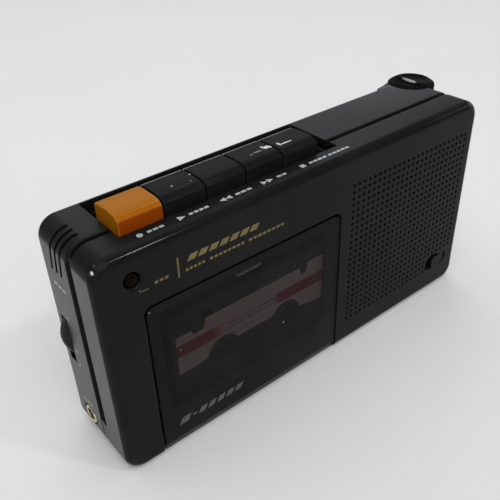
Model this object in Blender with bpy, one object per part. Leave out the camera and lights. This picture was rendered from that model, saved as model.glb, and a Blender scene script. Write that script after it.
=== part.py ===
"""Pocket microcassette dictation machine, standing on its long edge.

Frame: origin at the centre of the long bottom face. +X runs along the length
towards the speaker end (right), +Y towards the back, +Z up towards the keys.
Lengths are millimetres; MM turns them into metres. A span is a (low, high)
pair along one axis.
"""
import math

import bmesh
import bpy

for old in list(bpy.data.objects):
    bpy.data.objects.remove(old, do_unlink=True)

MM = 0.001


def grow(span, by):
    return (span[0] - by, span[1] + by)


def about(middle, half):
    return (middle - half, middle + half)


# ---------------------------------------------------------------- dimensions
LENGTH, DEPTH, HEIGHT = 124.0, 25.6, 62.0
XL, XR = CASE_X = about(0, LENGTH / 2)
YF, YB = about(0, DEPTH / 2)
CORNER_R, FRONT_FILLET, BACK_FILLET, WALL = 4.8, 2.4, 0.7, 1.8
FRONT_IN, BACK_IN = YF + WALL, YB - WALL  # inner faces of the walls
GAP = 0.3  # clearance between fitted parts
PAST = 1.0  # how far a cutter runs beyond the face it opens
PARTING_FRONT = -2.6
PARTING_REAR = PARTING_FRONT + GAP
GROOVE_Y = about((PARTING_FRONT + PARTING_REAR) / 2, 1.0)
GROOVE_DEEP, GROOVE_END_Z = 1.1, 10.5

WELL_X, WELL_Y, WELL_Z = (-51.9, 10.8), (-6.6, 11.4), (59.0, HEIGHT + PAST)
KEY_X0, KEY_PITCH, KEY_GAP = -51.3, 11.2, 0.4
KEY_FRONT, KEY_BACK, KEY_TOP = -6.05, 4.0, 65.9
KEY_AXIS = (-4.6, 57.0)  # y, z

DOOR_X, DOOR_TOP, DOOR_GAP = (-51.55, 6.75), 46.35, 0.35
DOOR_OPEN_X = grow(DOOR_X, DOOR_GAP)
DOOR_THICK, DOOR_CORNER_R = 1.6, 2.0
HINGE_Y, HINGE_Z, HINGE_R, BARREL_R = -10.3, 2.7, 2.5, 1.75
HINGE, HINGE_BORE_R, HINGE_PIN_R = (HINGE_Y, HINGE_Z), 0.9, 0.6
HINGE_LUG_GAP, HINGE_LUG_WIDTH = 0.65, 2.6
WINDOW_X, WINDOW_Z = grow(DOOR_X, -3.55), (12.0, 43.0)

# centres on the tape deck are (x, z)
CAS_X, CAS_Z, CAS_Y = (-45.0, 5.0), (4.8, 37.8), (-9.9, -1.9)
CAS_MID = sum(CAS_X) / 2
HUB_OFFSET, HUB_Z, CAPSTAN_OFFSET = 10.3, 20.0, 14.4
SUPPLY, TAKEUP = (CAS_MID - HUB_OFFSET, HUB_Z), (CAS_MID + HUB_OFFSET, HUB_Z)
CAPSTAN = (CAS_MID + CAPSTAN_OFFSET, 33.9)
MOTOR = (-36.0, 36.0)
TRACK_R, PULLEY_R, CAPSTAN_R, ROLLER_R = 9.5, 2.0, 1.0, 3.0
ROLLER_GAP, HEAD_TRAVEL = 0.35, 2.4
ROLLER = (CAPSTAN[0], CAPSTAN[1] + CAPSTAN_R + ROLLER_R + ROLLER_GAP + HEAD_TRAVEL)

GRILLE_X0, GRILLE_Z0, GRILLE_PITCH, GRILLE_COUNT, GRILLE_HOLE = 12.3, 9.9, 3.8, 12, 1.7
GRILLE_EYE_R = 8.2  # no grille holes this close to the strap eye
SPEAKER = (34.2, 31.0)  # x, z
WHEEL, WHEEL_Y, WHEEL_R = (-55.1, 31.6), (7.2, 9.3), 8.5
WHEEL_TEETH, WHEEL_TOOTH = 40, 0.45
JACK = (5.3, 6.9)  # y, z
DIAL, DIAL_R = (59.3, 10.1), 7.0  # x, y
EYE = EYE_X, EYE_Z = 52.0, 11.2
LAMP = (-53.2, 54.9)  # x, z
SCREWS = ((-56.5, 47.0), (-56.5, 14.0), (46.5, 57.2), (57.2, 4.6))  # x, z
COVER_X0, COVER_Z, COVER_THICK = 12.0, (8.5, 41.5), 1.5
CELL_Y, LOW_Z, CELL_PITCH = 3.9, 17.3, 15.0
HIGH_Z = LOW_Z + CELL_PITCH


# ---------------------------------------------------------------- materials
def material(name, rgb, rough, metal=0.0):
    mat = bpy.data.materials.new(name)
    mat.use_nodes = True
    inputs = mat.node_tree.nodes["Principled BSDF"].inputs
    inputs["Base Color"].default_value = (*rgb, 1.0)
    inputs["Roughness"].default_value = rough
    inputs["Metallic"].default_value = metal
    return mat


BLACK = material("housing_plastic", rgb=(0.022, 0.022, 0.023), rough=0.5)
DOOR = material("door_plastic", rgb=(0.02, 0.02, 0.021), rough=0.35)
SMOKE = material("smoked_window", rgb=(0.03, 0.03, 0.03), rough=0.12)
KEYBLACK = material("key_plastic", rgb=(0.02, 0.02, 0.021), rough=0.3)
ORANGE = material("record_key_plastic", rgb=(0.72, 0.28, 0.03), rough=0.4)
STEEL = material("steel", rgb=(0.55, 0.55, 0.56), rough=0.35, metal=1.0)
BRASS = material("brass", rgb=(0.7, 0.55, 0.3), rough=0.3, metal=1.0)
NICKEL = material("nickel", rgb=(0.66, 0.64, 0.58), rough=0.25, metal=1.0)
RUBBER = material("rubber", rgb=(0.025, 0.025, 0.025), rough=0.8)
RED = material("red_lens", rgb=(0.25, 0.02, 0.02), rough=0.15)
PAPER = material("speaker_paper", rgb=(0.05, 0.05, 0.05), rough=0.9)
BOARD = material("board", rgb=(0.1, 0.16, 0.05), rough=0.5)
CHIP = material("chip", rgb=(0.03, 0.03, 0.03), rough=0.5)
CAPACITOR = material("capacitor_sleeve", rgb=(0.03, 0.06, 0.2), rough=0.35)
WHITE = material("white_plastic", rgb=(0.75, 0.74, 0.7), rough=0.45)
TAPE = material("tape", rgb=(0.09, 0.05, 0.03), rough=0.3)
CASSETTE = material("cassette_plastic", rgb=(0.05, 0.05, 0.055), rough=0.35)
CELL = material("battery_jacket", rgb=(0.08, 0.08, 0.09), rough=0.3, metal=0.4)
GREY = material("mechanism_plastic", rgb=(0.12, 0.12, 0.12), rough=0.5)


# ---------------------------------------------------------------- mesh helpers
def make(name, points, faces, mat=None, origin=(0, 0, 0), smooth=False):
    """One object from points in mm; its origin sits at `origin`."""
    bm = bmesh.new()
    verts = [bm.verts.new([(point[i] - origin[i]) * MM for i in range(3)]) for point in points]
    for face in faces:
        bm.faces.new([verts[i] for i in face])
    bmesh.ops.recalc_face_normals(bm, faces=bm.faces)
    mesh = bpy.data.meshes.new(name)
    bm.to_mesh(mesh)
    bm.free()
    piece = bpy.data.objects.new(name, mesh)
    piece.location = [c * MM for c in origin]
    bpy.context.collection.objects.link(piece)
    if mat:
        mesh.materials.append(mat)
    if smooth:
        mesh.shade_smooth()
        mesh.set_sharp_from_angle(angle=math.radians(35))
    return piece


def place(axis, u, v, along):
    """3D point from a flat (u, v) and a distance along the axis square to it."""
    return {"X": (along, u, v), "Y": (u, along, v), "Z": (u, v, along)}[axis]


def layer(outline, axis, along):
    return [place(axis, u, v, along) for u, v in outline]


def bridge(first, second, count):
    """Quads between two rings of `count` points, given by their first indices."""
    return [
        (first + i, first + (i + 1) % count, second + (i + 1) % count, second + i)
        for i in range(count)
    ]


def loft(name, loops, mat, **options):
    """Closed skin through loops of equal length, capped at both ends."""
    count = len(loops[0])
    last = (len(loops) - 1) * count
    faces = []
    for start in range(0, last, count):
        faces += bridge(start, start + count, count)
    faces.append(tuple(range(count)))
    faces.append(tuple(range(last, last + count)))
    return make(name, [point for loop in loops for point in loop], faces, mat, **options)


def prism(name, outline, axis, span, mat=None, **options):
    """A flat outline pushed along `axis` over `span`."""
    return loft(name, [layer(outline, axis, along) for along in span], mat, **options)


def box(name, x_span, y_span, z_span, mat=None):
    (x0, x1), (z0, z1) = x_span, z_span
    return prism(name, [(x0, z0), (x1, z0), (x1, z1), (x0, z1)], "Y", y_span, mat)


def disc(name, axis, centre, radius, span, sides, mat=None, **options):
    angles = [2 * math.pi * i / sides for i in range(sides)]
    outline = [
        (centre[0] + radius * math.cos(angle), centre[1] + radius * math.sin(angle))
        for angle in angles
    ]
    return prism(name, outline, axis, span, mat, **options)


def turned(name, profile, axis, centre, mat, sides, start=0.0, pivot=None):
    """A (radius, distance) outline spun about `axis` through the flat `centre`.

    Distances count from `start`. Radius 0 at both ends closes the piece on its
    axis; otherwise the outline closes on itself. `pivot` puts the object's
    origin on the axis at that coordinate."""
    points, rings = [], []
    for radius, along in profile:
        ring = []
        for i in range(sides if radius > 0 else 1):
            angle = 2 * math.pi * i / sides
            u, v = radius * math.cos(angle), radius * math.sin(angle)
            ring.append(len(points))
            points.append(place(axis, centre[0] + u, centre[1] + v, start + along))
        rings.append(ring)
    pairs = list(zip(rings, rings[1:]))
    if profile[0][0] > 0:
        pairs.append((rings[-1], rings[0]))
    faces = []
    for low, high in pairs:
        for i in range(sides):
            j = (i + 1) % sides
            if len(low) == 1:
                faces.append((low[0], high[j], high[i]))
            elif len(high) == 1:
                faces.append((low[i], low[j], high[0]))
            else:
                faces.append((low[i], low[j], high[j], high[i]))
    origin = (0, 0, 0) if pivot is None else place(axis, *centre, pivot)
    return make(name, points, faces, mat, origin, smooth=True)


def tube(inner, outer, span):
    """Profile of a plain tube, or of a solid cylinder if `inner` is 0."""
    return [(inner, span[0]), (outer, span[0]), (outer, span[1]), (inner, span[1])]


def arc(centre, radius, degrees):
    angles = [math.radians(deg) for deg in degrees]
    return [
        (centre[0] + radius * math.cos(angle), centre[1] + radius * math.sin(angle))
        for angle in angles
    ]


def rounded(x_span, z_span, radius, steps=5):
    """Rounded rectangle, anticlockwise."""
    (left, right), (low, high) = grow(x_span, -radius), grow(z_span, -radius)
    points = []
    for x, z, first in ((right, high, 0), (left, high, 90), (left, low, 180), (right, low, 270)):
        points += arc((x, z), radius, [first + 90 * i / steps for i in range(steps + 1)])
    return points


def coil(name, centre, radius, wire, span, turns, per_turn, origin=(0, 0, 0)):
    """A steel spring along X about `centre` (y, z); `wire` is the wire's radius."""
    sides = 4
    steps = turns * per_turn
    points, faces = [], []
    for i in range(steps + 1):
        turn = 2 * math.pi * turns * i / steps
        along = span[0] + (span[1] - span[0]) * i / steps
        for side in range(sides):
            angle = 2 * math.pi * side / sides
            reach = radius + wire * math.cos(angle)
            y = centre[0] + reach * math.cos(turn)
            z = centre[1] + reach * math.sin(turn)
            points.append((along + wire * math.sin(angle), y, z))
    for i in range(steps):
        faces += bridge(i * sides, (i + 1) * sides, sides)
    faces.append(tuple(range(sides)))
    faces.append(tuple(range(steps * sides, (steps + 1) * sides)))
    return make(name, points, faces, STEEL, origin, smooth=True)


def combine(piece, operation, tools):
    for tool in tools:
        tool.hide_render = True
        tool.display_type = "WIRE"
        modifier = piece.modifiers.new(operation.lower(), "BOOLEAN")
        modifier.operation, modifier.object, modifier.solver = operation, tool, "EXACT"


def cut(piece, *tools):
    combine(piece, "DIFFERENCE", tools)


def add(piece, *tools):
    combine(piece, "UNION", tools)


def many_boxes(name, blocks):
    """One tool made of separate blocks (x_span, y_span, z_span)."""
    corners = ((0, 1, 3, 2), (4, 6, 7, 5), (0, 4, 5, 1), (2, 3, 7, 6), (0, 2, 6, 4), (1, 5, 7, 3))
    points, faces = [], []
    for x_span, y_span, z_span in blocks:
        base = len(points)
        points += [(x, y, z) for x in x_span for y in y_span for z in z_span]
        faces += [tuple(base + i for i in face) for face in corners]
    return make(name, points, faces)


# ---------------------------------------------------------------- front housing
def case_outline(inset):
    return rounded(grow(CASE_X, -inset), grow((0, HEIGHT), -inset), CORNER_R - inset)


def case_loop(fillet, deg, face_y, inward):
    """Case outline at `deg` round the edge fillet; `inward` is the sign of Y into the case."""
    angle = math.radians(deg)
    y = face_y + inward * fillet * (1 - math.sin(angle))
    return layer(case_outline(fillet * (1 - math.cos(angle))), "Y", y)


loops = [case_loop(FRONT_FILLET, deg, YF, 1) for deg in (90, 65, 40, 18, 0)]
loops.append(layer(case_outline(0), "Y", PARTING_FRONT))
front = loft("front_housing", loops, BLACK, smooth=True)
cut(front, prism("cut_front_cavity", case_outline(WALL), "Y", (FRONT_IN, 0.0)))

# bosses for the case screws, the strap eye's cup and the door hinge's lugs
ROOT_Y = YF + 1.0  # added parts start inside the front wall
for i, screw in enumerate(SCREWS):
    add(front, disc(f"boss_front_{i}", "Y", screw, 2.5, (ROOT_Y, PARTING_FRONT), 12))
add(front, disc("eye_cup", "Y", EYE, 5.6, (ROOT_Y, -7.2), 16))
LUG_FAR = HINGE_LUG_GAP + HINGE_LUG_WIDTH
for i, lug_x in enumerate((
    (DOOR_X[0] - LUG_FAR, DOOR_X[0] - HINGE_LUG_GAP),
    (DOOR_X[1] + HINGE_LUG_GAP, DOOR_X[1] + LUG_FAR),
)):
    add(front, box(f"hinge_lug_{i}", lug_x, (ROOT_Y, -8.3), (1.0, 5.2)))

# the door's opening, through the front wall and the front of the bottom wall
opening = rounded(DOOR_OPEN_X, (-4.0, DOOR_TOP + DOOR_GAP), 2.2, 3)
cut(
    front,
    prism("cut_door_front", opening, "Y", (YF - PAST, FRONT_IN + 0.2)),
    box("cut_door_bottom", DOOR_OPEN_X, (YF - PAST, -7.4), (-PAST, 6.0)),
    box("cut_spring_seat", (-58.0, -54.7), (-11.95, -8.0), (1.2, 4.4)),
    disc("cut_lug_bore", "X", HINGE, HINGE_BORE_R, (-56, 11), 10),
)
# key well: the strip of top wall in front of the parting line
THROUGH_FRONT = (YF - PAST, FRONT_IN + PAST)
cut(
    front,
    box("cut_well_front", WELL_X, (WELL_Y[0], 0.0), WELL_Z),
    disc("cut_lamp", "Y", LAMP, 2.0, THROUGH_FRONT, 16),
)

# speaker grille: a square field of holes, left out around the strap eye
holes = []
for i in range(GRILLE_COUNT):
    for j in range(GRILLE_COUNT):
        x, z = GRILLE_X0 + i * GRILLE_PITCH, GRILLE_Z0 + j * GRILLE_PITCH
        if math.hypot(x - EYE_X, z - EYE_Z) >= GRILLE_EYE_R:
            half = GRILLE_HOLE / 2
            holes.append((about(x, half), THROUGH_FRONT, about(z, half)))
cut(front, many_boxes("cut_grille", holes))

# strap eye: two mouths either side of a moulded bar, joined behind it
MOUTH_Y = (YF - PAST, YF + 2.0)
cut(
    front,
    disc("cut_eye_under", "Y", EYE, 4.2, (YF + 1.5, -8.6), 16),
    box("cut_eye_left", (EYE_X - 4.0, EYE_X - 0.9), MOUTH_Y, about(EYE_Z, 2.6)),
    box("cut_eye_right", (EYE_X + 1.3, EYE_X + 4.0), MOUTH_Y, about(EYE_Z, 2.2)),
)
for i, screw in enumerate(SCREWS):
    cut(front, disc(f"cut_screw_front_{i}", "Y", screw, 1.15, (YF + 3.0, 0.0), 10))

# ---------------------------------------------------------------- rear housing
loops = [layer(case_outline(0), "Y", PARTING_REAR)]
loops += [case_loop(BACK_FILLET, deg, YB, -1) for deg in (0, 45, 90)]
rear = loft("rear_housing", loops, BLACK, smooth=True)

# flared corner lug that carries the dial: x, y
DIAL_LUG = [
    (48.0, 10.0), (48.6, YB - 0.2), (52.6, 14.0), (56.1, 15.3), (59.3, 15.9), (62.3, 15.1),
    (64.3, 13.1), (65.1, 10.1), (64.5, 6.9), (63.1, 4.6), (XR - 0.2, 1.6), (58.0, 1.6),
]
INSIDE_Y = -4.0  # rear cutters start here, in front of the parting line
add(rear, prism("dial_lug", DIAL_LUG, "Z", (54.6, 58.8)))
cut(rear, prism("cut_rear_cavity", case_outline(WALL), "Y", (INSIDE_Y, BACK_IN)))
for i, screw in enumerate(SCREWS):
    add(rear, disc(f"boss_rear_{i}", "Y", screw, 2.6, (PARTING_REAR, YB - 1.0), 12))

MIC_SLOTS_Y = (1.9, 4.1, 6.4)
LEFT_END_X, RIGHT_END_X = (XL - PAST, -59.0), (59.0, XR + PAST)
DIAL_SEAT_Z = 59.0
cut(
    rear,
    box("cut_well_rear", WELL_X, (INSIDE_Y, WELL_Y[1]), WELL_Z),
    # microphone slots wrap the top left corner
    many_boxes(
        "cut_mic_slots",
        [((XL - PAST, -57.6), about(y, 0.4), (51.5, HEIGHT + PAST)) for y in MIC_SLOTS_Y],
    ),
    box("cut_wheel_slot", LEFT_END_X, grow(WHEEL_Y, 0.35), about(WHEEL[1], 7.9)),
    disc("cut_jack", "X", JACK, 2.9, LEFT_END_X, 20),
    # battery bay opening in the back and the right end
    box("cut_cover_back", (COVER_X0, XR + PAST), (BACK_IN - 0.3, YB + PAST), COVER_Z),
    box("cut_cover_end", RIGHT_END_X, (8.0, YB + PAST), COVER_Z),
    disc("cut_dial", "Z", DIAL, DIAL_R + 0.35, (DIAL_SEAT_Z, 64.0), 32),
    disc("cut_dial_bore", "Z", DIAL, 1.6, (50.0, 60.0), 12),
)
for i, screw in enumerate(SCREWS):
    cut(
        rear,
        disc(f"cut_screw_rear_{i}", "Y", screw, 1.2, (INSIDE_Y, YB + PAST), 10),
        disc(f"cut_screw_seat_{i}", "Y", screw, 2.3, (YB - 1.9, YB + PAST), 16),
    )

# groove round the top and both ends, half in each housing
groove_x, groove_r = XR - GROOVE_DEEP, CORNER_R - GROOVE_DEEP
corner = (groove_r - groove_x, HEIGHT - GROOVE_DEEP - groove_r)
left_half = [(-groove_x, GROOVE_END_Z)]
left_half += arc(corner, groove_r, [180 - 18 * i for i in range(6)])
groove = left_half + [(-x, z) for x, z in reversed(left_half)]
groove += [
    (XR + PAST, GROOVE_END_Z), (XR + PAST, HEIGHT + PAST),
    (XL - PAST, HEIGHT + PAST), (XL - PAST, GROOVE_END_Z),
]
groove_tool = prism("cut_groove", groove, "Y", GROOVE_Y)
cut(front, groove_tool)
cut(rear, groove_tool)

# ---------------------------------------------------------------- battery cover
cover_z = grow(COVER_Z, -GAP)
cover = box("battery_cover", (COVER_X0 + GAP, XR), (YB - COVER_THICK, YB), cover_z, BLACK)
add(cover, box("cover_lip", (XR - COVER_THICK, XR), (8.35, YB - 0.5), cover_z))
grip = [
    ((15.0 + 1.4 * i, 15.7 + 1.4 * i), (YB - 0.5, YB + PAST), (19.0, 31.0)) for i in range(5)
]
cut(cover, many_boxes("cut_cover_grip", grip))

# ---------------------------------------------------------------- cassette door
# side section (y, z): the panel, curling under the hinge and up to its inner face;
# from 270 degrees the radius eases from HINGE_R to BARREL_R
inner_y = YF + DOOR_THICK
curl_end = 360 + math.degrees(math.acos((inner_y - HINGE_Y) / BARREL_R))
section = [(YF, DOOR_TOP), (YF, HINGE_Z)]
for i in range(1, 15):
    deg = 180 + (curl_end - 180) * i / 14
    ease = min(1.0, max(0.0, (deg - 270) / 60))
    section += arc(HINGE, HINGE_R - (HINGE_R - BARREL_R) * ease, [deg])
section.append((inner_y, DOOR_TOP))
hinge_point = (0.0, HINGE_Y, HINGE_Z)
door = prism("cassette_door", section, "X", DOOR_X, DOOR, origin=hinge_point, smooth=True)
THROUGH_DOOR = (YF - PAST, YF + 3)
bore_left, bore_right = (DOOR_X[0] - 1, DOOR_X[0] + 4.0), (DOOR_X[1] - 4.0, DOOR_X[1] + 1)
cut(
    door,
    box("cut_window", WINDOW_X, THROUGH_DOOR, WINDOW_Z),
    disc("cut_door_bore_l", "X", HINGE, HINGE_BORE_R, bore_left, 10),
    disc("cut_door_bore_r", "X", HINGE, HINGE_BORE_R, bore_right, 10),
)
# round the top corners
for i, (edge, inward) in enumerate(zip(DOOR_X, (1, -1))):
    start_z = DOOR_TOP - DOOR_CORNER_R
    corner = [(edge - inward, DOOR_TOP + 1), (edge - inward, start_z), (edge, start_z)]
    for deg in (22.5, 45, 67.5, 90):
        angle = math.radians(deg)
        x = edge + inward * DOOR_CORNER_R * (1 - math.cos(angle))
        corner.append((x, start_z + DOOR_CORNER_R * math.sin(angle)))
    corner.append((edge + inward * DOOR_CORNER_R, DOOR_TOP + 1))
    cut(door, prism(f"cut_door_corner_{i}", corner, "Y", THROUGH_DOOR))

pane = rounded(grow(WINDOW_X, -GAP), grow(WINDOW_Z, -GAP), 0.6, 2)
prism("door_window", pane, "Y", (YF + 0.02, YF + 1.3), SMOKE, origin=hinge_point)
for side, span in (("left", (-57.8, DOOR_X[0] + 3.4)), ("right", (DOOR_X[1] - 3.4, 9.7))):
    disc(f"door_hinge_pin_{side}", "X", HINGE, HINGE_PIN_R, span, 10, STEEL, smooth=True)
coil("door_spring", HINGE, 1.0, 0.18, (-57.4, -55.3), turns=3, per_turn=7)

# ---------------------------------------------------------------- keys
KEYS = (
    ("record_key", ORANGE),
    ("play_key", KEYBLACK),
    ("rewind_key", KEYBLACK),
    ("fast_forward_key", KEYBLACK),
    ("stop_eject_key", KEYBLACK),
)
# side view (y, z): chamfered front top edge, underside reaching to the back
KEY_SIDE = [
    (KEY_FRONT, 60.4),
    (KEY_FRONT, KEY_TOP - 0.95),
    (KEY_FRONT + 0.35, KEY_TOP - 0.45),
    (KEY_FRONT + 1.7, KEY_TOP),
    (-1.0, KEY_TOP + 0.15),
    (KEY_BACK - 0.4, KEY_TOP - 0.3),
    (KEY_BACK, KEY_TOP - 0.7),
    (KEY_BACK, 61.5),
    (-3.1, 61.2),
]


def build_key(index, name, mat):
    """A key cap with an arm down to its pivot barrel, and its spring."""
    left = KEY_X0 + index * KEY_PITCH
    right = left + KEY_PITCH - KEY_GAP
    middle = (left + right) / 2
    pivot = (middle, *KEY_AXIS)
    arm_x = about(middle, 3.0)
    key = prism(name, KEY_SIDE, "X", (left, right), mat, origin=pivot, smooth=True)
    add(
        key,
        box(f"arm_{index}", arm_x, (-5.6, -3.5), (56.2, 61.9)),
        disc(f"barrel_{index}", "X", KEY_AXIS, 1.7, arm_x, 14),
    )
    cut(key, disc(f"bore_{index}", "X", KEY_AXIS, 1.1, about(middle, 5.0), 12))
    spring_x = (middle + 3.5, middle + 4.9)
    coil(f"key_spring_{index + 1}", KEY_AXIS, 1.35, 0.2, spring_x, 2, 8, origin=pivot)


for i, (name, mat) in enumerate(KEYS):
    build_key(i, name, mat)
disc("key_pivot_shaft", "X", KEY_AXIS, 0.8, (-53.9, 11.0), 12, STEEL, smooth=True)

# U-shaped bracket: x, z
BRACKET = [
    (-53.4, 52.6), (10.5, 52.6), (10.5, 59.6), (9.5, 59.6),
    (9.5, 53.6), (-52.4, 53.6), (-52.4, 59.6), (-53.4, 59.6),
]
bracket = prism("key_bracket", BRACKET, "Y", (-7.8, 10.5), GREY)
cut(bracket, disc("cut_bracket_bore", "X", KEY_AXIS, 1.1, (-55, 12), 12))

# ---------------------------------------------------------------- lamp, microphone, jack
# turned profiles here and below are (radius, distance along the axis)
LAMP_PROFILE = [
    (0, -0.25), (0.9, -0.12), (1.5, 0.25), (1.7, 0.6), (1.7, 1.9), (2.5, 1.9), (2.5, 3.0), (0, 3.0),
]
JACK_PROFILE = [(1.8, -0.1), (2.55, -0.1), (2.55, 2.4), (2.9, 2.4), (2.9, 12.0), (1.8, 12.0)]
turned("record_lamp", LAMP_PROFILE, "Y", LAMP, RED, 14, start=YF)
turned("microphone_capsule", tube(0, 3.0, (0, 3.4)), "X", (5.0, 55.4), NICKEL, 20, start=-59.0)
turned("earphone_jack", JACK_PROFILE, "X", JACK, BRASS, 14, start=XL)

# ---------------------------------------------------------------- volume wheel
rim = []
for i in range(WHEEL_TEETH):
    rim += arc(WHEEL, WHEEL_R - WHEEL_TOOTH * (i % 2), [360 * i / WHEEL_TEETH])
wheel_origin = place("Y", *WHEEL, sum(WHEEL_Y) / 2)
wheel = prism("volume_wheel", rim, "Y", WHEEL_Y, KEYBLACK, origin=wheel_origin)
cut(wheel, disc("cut_wheel_bore", "Y", WHEEL, 1.5, (5, 11), 12))
pot_x, pot_z = about(WHEEL[0], 4.9), about(WHEEL[1], 4.6)
pot = box("volume_potentiometer", pot_x, (3.0, 6.9), pot_z, NICKEL)
add(pot, disc("pot_shaft", "Y", WHEEL, 1.15, (6.5, 9.6), 12))

# ---------------------------------------------------------------- corner dial
DIAL_PROFILE = [
    (0, 62.35), (4.0, 62.3), (5.4, 62.1), (DIAL_R - 0.5, 61.8), (DIAL_R, 61.3),
    (DIAL_R, 59.6), (DIAL_R - 0.3, 59.3), (1.25, 59.3), (1.25, 51.4), (0, 51.4),
]
turned("speed_dial", DIAL_PROFILE, "Z", DIAL, KEYBLACK, 26, pivot=DIAL_SEAT_Z)
box("speed_switch", (52.6, 59.9), (2.6, 10.7), (43.4, 50.9), NICKEL)

# ---------------------------------------------------------------- speaker
FRAME_PROFILE = [
    (20.0, -10.7), (20.0, -9.5), (18.8, -9.5), (12.6, -5.7), (6.6, -5.7),
    (6.6, -6.5), (12.0, -6.5), (17.8, -10.1), (17.8, -10.7),
]
CONE_PROFILE = [
    (0, -9.6), (3.0, -9.3), (4.8, -8.6), (15.6, -10.6), (17.4, -10.6),
    (17.4, -10.1), (15.6, -10.1), (4.8, -8.0), (3.0, -8.8), (0, -9.1),
]
MAGNET_PROFILE = [(0, -7.4), (6.0, -7.4), (6.0, -5.3), (9.5, -5.3), (9.5, -3.7), (0, -3.7)]
turned("speaker_frame", FRAME_PROFILE, "Y", SPEAKER, STEEL, 24)
turned("speaker_cone", CONE_PROFILE, "Y", SPEAKER, PAPER, 24)
turned("speaker_magnet", MAGNET_PROFILE, "Y", SPEAKER, STEEL, 20)

# ---------------------------------------------------------------- electronics
box("circuit_board", (12.6, 43.4), (2.0, 3.2), (42.9, 59.4), BOARD)
box("amplifier_chip", (18.0, 26.0), (3.5, 5.7), (47.0, 52.5), CHIP)
turned("capacitor_large", tube(0, 2.4, (29.5, 37.5)), "X", (6.0, 51.0), CAPACITOR, 16)

# ---------------------------------------------------------------- tape deck
deck = box("deck_plate", (-50.0, 4.9), (-1.4, -0.4), (2.6, 51.8), STEEL)
cut(
    deck,
    disc("cut_deck_l", "Y", SUPPLY, 2.3, (-3, 1), 16),
    disc("cut_deck_r", "Y", TAKEUP, 2.3, (-3, 1), 16),
    disc("cut_deck_c", "Y", CAPSTAN, 1.6, (-3, 1), 14),
)
SPINDLE_PROFILE = [
    (0, -8.6), (0.8, -8.6), (1.7, -7.4), (1.7, 0.1), (6.5, 0.1), (6.5, 1.7), (0, 1.7),
]
for name, hub in (("supply_spindle", SUPPLY), ("takeup_spindle", TAKEUP)):
    spindle = turned(name, SPINDLE_PROFILE, "Y", hub, WHITE, 18, pivot=0)
    rib = (about(hub[0], 2.1), (-7.6, -4.4), about(HUB_Z, 0.4))
    add(spindle, many_boxes(f"{name}_ribs", [rib]))
turned("idler_wheel", tube(0.9, 3.45, (0.1, 1.7)), "Y", (CAS_MID, HUB_Z), RUBBER, 20, pivot=0)

CAPSTAN_PROFILE = [(0, -8.9), (0.7, -8.9), (CAPSTAN_R, -8.6), (CAPSTAN_R, 10.2), (0, 10.2)]
FLYWHEEL_PROFILE = [
    (1.3, 4.4), (10.5, 4.4), (10.5, 7.6), (TRACK_R, 7.9), (TRACK_R, 9.6), (1.3, 9.6),
]
MOTOR_PROFILE = [
    (0, -0.1), (8.6, -0.1), (8.9, 0.3), (8.9, 7.1), (2.2, 7.1),
    (2.2, 7.4), (0.45, 7.4), (0.45, 10.2), (0, 10.2),
]
PULLEY_PROFILE = [
    (0.75, 7.75), (2.6, 7.75), (PULLEY_R, 8.05), (PULLEY_R, 9.25),
    (2.6, 9.6), (2.6, 9.9), (0.75, 9.9),
]
turned("capstan_shaft", CAPSTAN_PROFILE, "Y", CAPSTAN, STEEL, 14, pivot=0)
turned("flywheel", FLYWHEEL_PROFILE, "Y", CAPSTAN, BRASS, 26, pivot=0)
turned("motor", MOTOR_PROFILE, "Y", MOTOR, STEEL, 20)
turned("motor_pulley", PULLEY_PROFILE, "Y", MOTOR, BRASS, 16, pivot=0)


# ---------------------------------------------------------------- drive belt
def belt_path(offset, wide_steps=14, narrow_steps=6):
    """Outline `offset` outside flywheel track and pulley, with the outer tangents."""
    wide, narrow = TRACK_R + offset, PULLEY_R + offset
    dx, dz = MOTOR[0] - CAPSTAN[0], MOTOR[1] - CAPSTAN[1]
    lean = math.degrees(math.atan2(dz, dx))
    spread = math.degrees(math.acos((wide - narrow) / math.hypot(dx, dz)))
    wide_step, narrow_step = (360 - 2 * spread) / wide_steps, 2 * spread / narrow_steps
    path = arc(CAPSTAN, wide, [lean + spread + wide_step * i for i in range(wide_steps + 1)])
    path += arc(MOTOR, narrow, [lean - spread + narrow_step * i for i in range(narrow_steps + 1)])
    return path


outer, inner = belt_path(1.1), belt_path(0.35)
count = len(outer)
points, faces = [], []
for i, (y, path) in enumerate(((8.25, outer), (8.25, inner), (9.05, inner), (9.05, outer))):
    points += layer(path, "Y", y)
    faces += bridge(i * count, (i + 1) % 4 * count, count)
make("drive_belt", points, faces, RUBBER, smooth=True)

# ---------------------------------------------------------------- head slide
# carries the heads and the pinch roller above the tape
box("head_slide", (-34.0, 2.0), (-3.9, -2.6), (40.8, 49.5), STEEL)
head = box("record_play_head", about(CAS_MID, 4.0), (-8.4, -4.2), (38.9, 45.5), NICKEL)
NOSE = [(-23.0, 39.5), (-21.5, 38.4), (-18.5, 38.4), (-17.0, 39.5)]  # x, z
add(head, prism("head_nose", NOSE, "Y", (-8.0, -4.6)))
box("erase_head", (-33.0, -28.5), (-8.2, -4.2), (40.6, 45.2), GREY)
turned("pinch_roller", tube(0.95, ROLLER_R, (-8.4, -4.4)), "Y", ROLLER, RUBBER, 22, pivot=0)
turned("pinch_roller_pin", tube(0, 0.6, (-8.7, -4.2)), "Y", ROLLER, STEEL, 12)

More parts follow.
